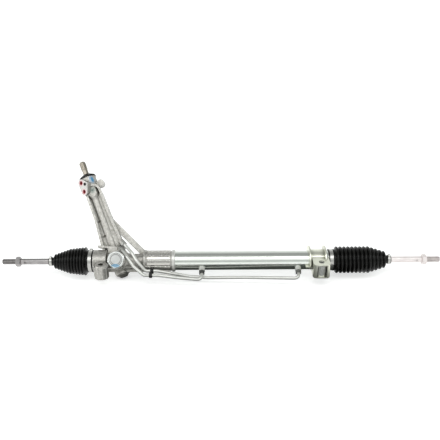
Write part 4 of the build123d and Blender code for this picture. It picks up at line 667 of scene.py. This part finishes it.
def follow_rod(boot, side, cuff_from):
    """Tilts a boot's small end with its tie rod, faded in from the ball to the cuff.

    The rack's slide is taken off the rod's motion.
    """
    ball_x = BALLS[side][0]
    tilt = bpy.data.objects.new(side + "_boot_tilt", None)
    bpy.context.scene.collection.objects.link(tilt)
    tilt.parent = bpy.data.objects["body:" + side + "_tie_rod"]
    without_slide = tilt.constraints.new("COPY_LOCATION")
    without_slide.target = bpy.data.objects["body:rack"]
    without_slide.invert_x = without_slide.invert_y = without_slide.invert_z = True
    without_slide.owner_space = "LOCAL"
    group = boot.vertex_groups.new(name="tilt")
    for vertex in boot.data.vertices:
        share = (vertex.co.x - ball_x) / (cuff_from - ball_x)
        if share > 0:
            group.add([vertex.index], min(share, 1.0), "REPLACE")
    hook = boot.modifiers.new("tilt", "HOOK")
    hook.object = tilt
    hook.vertex_group = group.name


def make_boot(side):
    """Pleated boot from the housing out over the tie rod, whose small end tilts with the rod."""
    way = BALLS[side][1]
    shoulder, spigot_r, length, full, falling, first_r, full_r, last_r = BOOTS[side]
    origin = Vector((shoulder, RACK.y, RACK.z))
    along = Vector((way, 0, 0))
    wall = boot_profile(spigot_r, length, full, falling, first_r, full_r, last_r, PLEAT_DEPTHS[side])
    boot = turned(side + "_bellows", wall, origin, along, "black_rubber", None, segments=96, loop=True)
    end = origin + along * (PLEATS_FROM + length)
    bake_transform(boot)
    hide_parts(side + "_boot")
    follow_rod(boot, side, end.x)
    return boot


def clamp_ear(name, x, radius, width, turn_from_rear, body):
    """Crimped ear that stands up from a band clamp."""
    outer, inner = [], []
    for step in range(EAR_STEPS + 1):
        share = step / EAR_STEPS
        rise = sin(pi * share)
        ear_r = radius + 0.0003 + EAR_LIFT * rise ** 0.5
        side = (share - 0.5) * 2 * EAR_HALF_WIDTH * (1 - EAR_WAIST * rise)
        turn = radians(turn_from_rear) + side / radius
        for line, r in ((outer, ear_r), (inner, ear_r - CLAMP_SHEET)):
            line.append((RACK.y + r * cos(turn), RACK.z + r * sin(turn)))
    section = outer + inner[::-1]
    rings = [[Vector((x + edge, y, z)) for y, z in section] for edge in (-width / 2, width / 2)]
    points, faces = skin_rings(rings)
    piece = new_piece(name, points, faces, "clamp_steel", body)
    bevel = piece.modifiers.new("soft_corners", "BEVEL")
    bevel.width = 0.0002
    bevel.segments = 2
    return piece


for side in BALLS:
    make_boot(side)
for side, (ball_x, way) in BALLS.items():
    shoulder, spigot_r, length = BOOTS[side][:3]
    big_x = shoulder + way * (CLAMP_AT + CLAMP_WIDTH / 2)
    big_r = spigot_r + BOOT_WALL + CLAMP_SHEET
    clamp_ear(side + "_big_clamp_ear", big_x, big_r, CLAMP_WIDTH * 0.8, BIG_EAR_TURN[side], "housing")
    small_x = shoulder + way * (PLEATS_FROM + length + SMALL_CUFF - SMALL_CLAMP_FROM_END)
    clamp_ear(side + "_small_clamp_ear", small_x, SMALL_CLAMP_R, SMALL_CLAMP_WIDTH, SMALL_EAR_TURN,
              side + "_tie_rod")


# ---------------------------------------------------------------- tie rods
def rod_stations():
    """(distance from the ball, radius, on the flats) from the ball to where the thread starts."""
    thread_from = ROD_LENGTH - THREAD_LENGTH
    flats_to = thread_from - FLATS_TO_THREAD
    flats_from = flats_to - FLATS_WIDTH
    ball_front = sqrt(BALL_R ** 2 - NECK_R ** 2)
    shank_from = NECK_LENGTH + NECK_FLARE
    shank = flats_from - SHARP_STEP - shank_from
    ball_turns = [pi * k / 24 for k in range(1, 22)]
    stations = [(-BALL_R * cos(turn), BALL_R * sin(turn), False) for turn in ball_turns]
    stations += [(ball_front + 0.0008, NECK_R + 0.0004, False), (ball_front + 0.0025, NECK_R, False),
                 (NECK_LENGTH, NECK_R, False), (NECK_LENGTH + NECK_FLARE / 2, NECK_R + 0.0005, False),
                 (shank_from, ROD_R, False)]
    stations += [(shank_from + shank * k / 8, ROD_R, False) for k in range(1, 9)]
    stations += [(flats_from, ROD_R, True), (flats_to, ROD_R, True), (flats_to + SHARP_STEP, ROD_R, False),
                 (thread_from - 0.0006, ROD_R, False), (thread_from, ROD_R - 0.0006, False)]
    return stations


def thread_radius(distance, share_of_turn):
    """Radius of the rolled thread at a distance from the ball and a share of a turn round the rod."""
    crest = min(THREAD_R, THREAD_R - 0.0015 + ROD_LENGTH - distance)
    phase = (distance / THREAD_PITCH - share_of_turn) % 1.0
    cut = min(1.0, max(0.0, 1.25 * abs(2 * phase - 1) - 0.12))
    fade_in = min(1.0, (distance - (ROD_LENGTH - THREAD_LENGTH)) / 0.003)
    return crest - THREAD_DEPTH * fade_in * cut


def make_rod(side, finish):
    """Ball, neck, shank with two spanner flats, and a rolled thread at the tip."""
    ball_x, way = BALLS[side]
    origin = Vector((ball_x, RACK.y, RACK.z))
    shares = [k / ROD_SEGMENTS for k in range(ROD_SEGMENTS)]
    rings = []
    for distance, radius, flat in rod_stations():
        x = origin.x + way * distance
        half = FLATS_HALF if flat else radius
        ring = []
        for share in shares:
            y = max(-half, min(half, radius * cos(2 * pi * share)))
            ring.append(Vector((x, origin.y + y, origin.z + radius * sin(2 * pi * share))))
        rings.append(ring)
    steps = int(THREAD_LENGTH / THREAD_PITCH * THREAD_STEPS_PER_TURN)
    for step in range(1, steps + 1):
        distance = ROD_LENGTH - THREAD_LENGTH + THREAD_LENGTH * step / steps
        x = origin.x + way * distance
        ring = []
        for share in shares:
            radius = thread_radius(distance, share)
            turn = 2 * pi * share
            ring.append(Vector((x, origin.y + radius * cos(turn), origin.z + radius * sin(turn))))
        rings.append(ring)
    points, faces = skin_rings(rings)
    rod = new_piece(side + "_threaded_rod", points, faces, "rod_steel", side + "_tie_rod")
    rod.data.materials[0] = FINISHES[finish]
    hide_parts(side + "_tie_rod")
    return rod


# the right rod takes the paler copy of the rod steel, partly painted light on that end
make_rod("left", "rod_steel")
make_rod("right", "lit_rod_steel")


# ---------------------------------------------------------------- pipe clip and plate screw
CLIP_FROM = 0.1160
CLIP_EYE_LENGTH = 0.0078
CLIP_STAGGER = 0.0022
CLIP_WEB_LENGTH = 0.0050
CLIP_OUTER_R = 0.0068
CLIP_WEB_HALF = 0.0022
CLIP_FOOT_HALF = 0.0030
PIPE_R = 0.0040
UPPER_PIPE_AT = Vector((0, -0.0340, -0.0085))   # pipes at the clip, from the rack's axis
LOWER_PIPE_AT = Vector((0, -0.0475, -0.0125))
CLIP_FOOT_AT = UPPER_PIPE_AT.normalized() * 0.0262


def clip_eye(start, pipe_at):
    """Barrelled eye round a pipe."""
    bore_r = PIPE_R + 0.0002
    profile = [(0.0, CLIP_OUTER_R - 0.0010), (0.0006, CLIP_OUTER_R - 0.0003), (0.0025, CLIP_OUTER_R),
               (CLIP_EYE_LENGTH - 0.0025, CLIP_OUTER_R), (CLIP_EYE_LENGTH - 0.0006, CLIP_OUTER_R - 0.0003),
               (CLIP_EYE_LENGTH, CLIP_OUTER_R - 0.0010), (CLIP_EYE_LENGTH, bore_r), (0.0, bore_r)]
    origin = RACK + pipe_at + Vector((start, 0, 0))
    rings = turned_rings(profile, origin, Vector((1, 0, 0)), Vector((0, 1, 0)), Vector((0, 0, 1)), 40)
    return skin_rings(rings, loop=True)


def clip_web(low, high, half_width):
    """Flat web between two places beside the rack."""
    along = (high - low).normalized()
    across = Vector((0, -along.z, along.y)) * half_width
    further = Vector((CLIP_WEB_LENGTH, 0, 0))
    rings = []
    for end in (low, high):
        middle = RACK + end + Vector((CLIP_FROM + CLIP_STAGGER, 0, 0))
        rings.append([middle + across, middle + across + further, middle - across + further, middle - across])
    return skin_rings(rings)


def make_clip():
    """Moulded clip: an eye round each pipe, the upper one set further along, and a foot on the casting."""
    inside_wall = PIPE_R + 0.0006
    between_pipes = (UPPER_PIPE_AT - LOWER_PIPE_AT).normalized() * inside_wall
    to_foot = (CLIP_FOOT_AT - UPPER_PIPE_AT).normalized() * inside_wall
    parts = [clip_eye(CLIP_FROM + CLIP_STAGGER, UPPER_PIPE_AT), clip_eye(CLIP_FROM, LOWER_PIPE_AT),
             clip_web(LOWER_PIPE_AT + between_pipes, UPPER_PIPE_AT - between_pipes, CLIP_WEB_HALF),
             clip_web(UPPER_PIPE_AT + to_foot, CLIP_FOOT_AT, CLIP_FOOT_HALF)]
    points, faces = [], []
    for more_points, more_faces in parts:
        faces += [tuple(i + len(points) for i in face) for face in more_faces]
        points += more_points
    clip = new_piece("moulded_pipe_clip", points, faces, "black_plastic", "housing", smooth=False)
    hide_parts("pipe_clip")


make_clip()


def plate_screw():
    """Low black screw with a socket, which holds the hose plate."""
    face = max(v.co.dot(PORT_OUT) for v in frame["nodes"]["port_plate"].data.vertices)
    origin = PLATE_BOLT + PORT_OUT * (face - PLATE_BOLT.dot(PORT_OUT))
    head = [(-0.0012, 0.0001), (-0.0012, 0.0036), (0.0002, 0.0040), (0.0012, 0.0038), (0.0016, 0.0033),
            (0.0016, 0.0019), (0.0004, 0.0017), (0.0004, 0.0001)]
    return turned("plate_screw", head, origin, PORT_OUT, "black_plastic", "housing", segments=36)


plate_screw()


# ---------------------------------------------------------------- floor, light and camera
FLOOR_REACH = 12.0
FLOOR_GLOW = 0.46
# stretch of the dark card under the rack, which only reflections see: painted shade in the metal's
# reflections
CARD_BACK = 0.045
CARD_FRONT = -0.135
CARD_LEFT = 0.035
CARD_RIGHT = 0.62
# brightness of the surroundings by their angle over the rack, from the front horizon (0) to the back one (1)
SKY_LEVELS = (
    (0.00, 1.25), (0.05, 1.10), (0.09, 0.55), (0.16, 0.70), (0.21, 1.30), (0.35, 1.30), (0.42, 0.66),
    (0.52, 0.42), (0.62, 0.40), (0.72, 0.62), (0.82, 1.05), (1.00, 1.15))


def flat_stage(name, corners, height, material):
    """Flat rectangle that isn't part of the object."""
    (left, front), (right, back) = corners
    mesh = bpy.data.meshes.new(name)
    points = [(left, front, height), (right, front, height), (right, back, height), (left, back, height)]
    mesh.from_pydata(points, [], [(0, 1, 2, 3)])
    mesh.materials.append(material)
    sheet = bpy.data.objects.new(name, mesh)
    bpy.context.scene.collection.objects.link(sheet)
    return sheet


def make_floor():
    """Pale floor that keeps the shadow and shows white to the camera and in metal, and a dark card that only
    reflections see: a painted dark reflection of the shade under the rack.
    """
    lowest = cad_box[0][2]
    paper = bpy.data.materials.new("studio_paper")
    paper.use_nodes = True
    tree = paper.node_tree
    shader = tree.nodes["Principled BSDF"]
    shader.inputs["Base Color"].default_value = (0.84, 0.84, 0.84, 1)
    shader.inputs["Roughness"].default_value = 0.9
    shader.inputs["Specular IOR Level"].default_value = 0.0
    path = tree.nodes.new("ShaderNodeLightPath")
    seen = math_node(tree, "MAXIMUM", path.outputs["Is Camera Ray"], path.outputs["Is Glossy Ray"])
    seen = math_node(tree, "MAXIMUM", seen, path.outputs["Is Transmission Ray"])
    shader.inputs["Emission Color"].default_value = (1, 1, 1, 1)
    tree.links.new(math_node(tree, "MULTIPLY", seen, FLOOR_GLOW), shader.inputs["Emission Strength"])
    corners = ((-FLOOR_REACH, -FLOOR_REACH), (FLOOR_REACH, FLOOR_REACH))
    flat_stage("studio_floor", corners, lowest, paper)
    black = bpy.data.materials.new("reflected_shade_black")
    black.use_nodes = True
    black.node_tree.nodes["Principled BSDF"].inputs["Base Color"].default_value = (0.04, 0.045, 0.04, 1)
    corners = ((CARD_LEFT, CARD_FRONT), (CARD_RIGHT, CARD_BACK))
    # painted reflection: the card is hidden from the camera, from diffuse light and from shadows, so it only
    # darkens what the metal reflects under the rack
    card = flat_stage("reflected_shade_card", corners, lowest + 0.0005, black)
    card.visible_camera = card.visible_diffuse = card.visible_shadow = card.visible_transmission = False


def make_world():
    """Surroundings banded along the rack like a studio's softboxes, and white to the camera."""
    world = bpy.data.worlds.new("studio")
    bpy.context.scene.world = world
    world.use_nodes = True
    tree = world.node_tree
    background = tree.nodes["Background"]
    background.inputs["Color"].default_value = (0.97, 1.0, 0.985, 1)
    split = tree.nodes.new("ShaderNodeSeparateXYZ")
    tree.links.new(tree.nodes.new("ShaderNodeTexCoord").outputs["Generated"], split.inputs[0])
    ahead = math_node(tree, "MULTIPLY", split.outputs["Y"], -1.0)
    angle = math_node(tree, "ARCTAN2", split.outputs["Z"], ahead)
    bands = tree.nodes.new("ShaderNodeValToRGB")
    tree.links.new(math_node(tree, "DIVIDE", angle, pi, clamp=True), bands.inputs["Fac"])
    ramp = bands.color_ramp
    for place, level in SKY_LEVELS[1:-1]:
        ramp.elements.new(place)
    # the ramp holds half of each level, because its colours stop at 1
    for element, (place, level) in zip(ramp.elements, SKY_LEVELS):
        element.position = place
        element.color = (level / 2, level / 2, level / 2, 1)
    level = math_node(tree, "MULTIPLY", bands.outputs["Color"], 2.0)
    path = tree.nodes.new("ShaderNodeLightPath")
    seen = path.outputs["Is Camera Ray"]
    hidden = math_node(tree, "MULTIPLY", math_node(tree, "SUBTRACT", 1.0, seen), level)
    tree.links.new(math_node(tree, "ADD", hidden, seen), background.inputs["Strength"])


def make_lamp(name, place, target, size, power):
    """Soft rectangular lamp aimed at a point."""
    data = bpy.data.lights.new(name, "AREA")
    data.shape = "RECTANGLE"
    data.size, data.size_y = size
    data.energy = power
    lamp = bpy.data.objects.new(name, data)
    bpy.context.scene.collection.objects.link(lamp)
    lamp.location = place
    lamp.rotation_euler = (Vector(target) - Vector(place)).to_track_quat("-Z", "Y").to_euler()


CAMERA_ELEVATION = 27.0
CAMERA_ROLL = 0.35
CAMERA_DISTANCE = 1.512
LOOK_X = 0.290
LOOK_ABOVE_RACK = 0.101     # in the picture's own up direction
SENSOR_WIDTH = 36.0
FOCAL_SHARE = 605 / 440     # focal length in widths of the picture


def make_camera():
    """Camera in front of the rack, looking down at it."""
    elevation, roll = radians(CAMERA_ELEVATION), radians(CAMERA_ROLL)
    up = Vector((0, sin(elevation), cos(elevation)))
    back = Vector((0, -cos(elevation), sin(elevation)))
    right = Vector((1, 0, 0))
    look = Vector((LOOK_X, RACK.y, RACK.z)) + up * LOOK_ABOVE_RACK
    turned_right = right * cos(roll) - up * sin(roll)
    turned_up = up * cos(roll) + right * sin(roll)
    place = look + back * CAMERA_DISTANCE
    data = bpy.data.cameras.new("product_camera")
    data.lens = SENSOR_WIDTH * FOCAL_SHARE
    data.sensor_width = SENSOR_WIDTH
    data.clip_start = 0.01
    camera = bpy.data.objects.new("product_camera", data)
    bpy.context.scene.collection.objects.link(camera)
    camera.matrix_world = Matrix((
        (turned_right.x, turned_up.x, back.x, place.x),
        (turned_right.y, turned_up.y, back.y, place.y),
        (turned_right.z, turned_up.z, back.z, place.z),
        (0, 0, 0, 1)))
    bpy.context.scene.camera = camera


make_floor()
make_world()
make_lamp("overhead_softbox", (0.30, -0.75, 1.45), (0.29, 0.04, 0.02), (2.4, 0.45), 9)
make_lamp("left_softbox", (-1.60, -0.60, 0.90), (0.20, 0.04, 0.02), (0.8, 0.8), 7)
make_camera()
bpy.context.scene.view_settings.view_transform = "Standard"
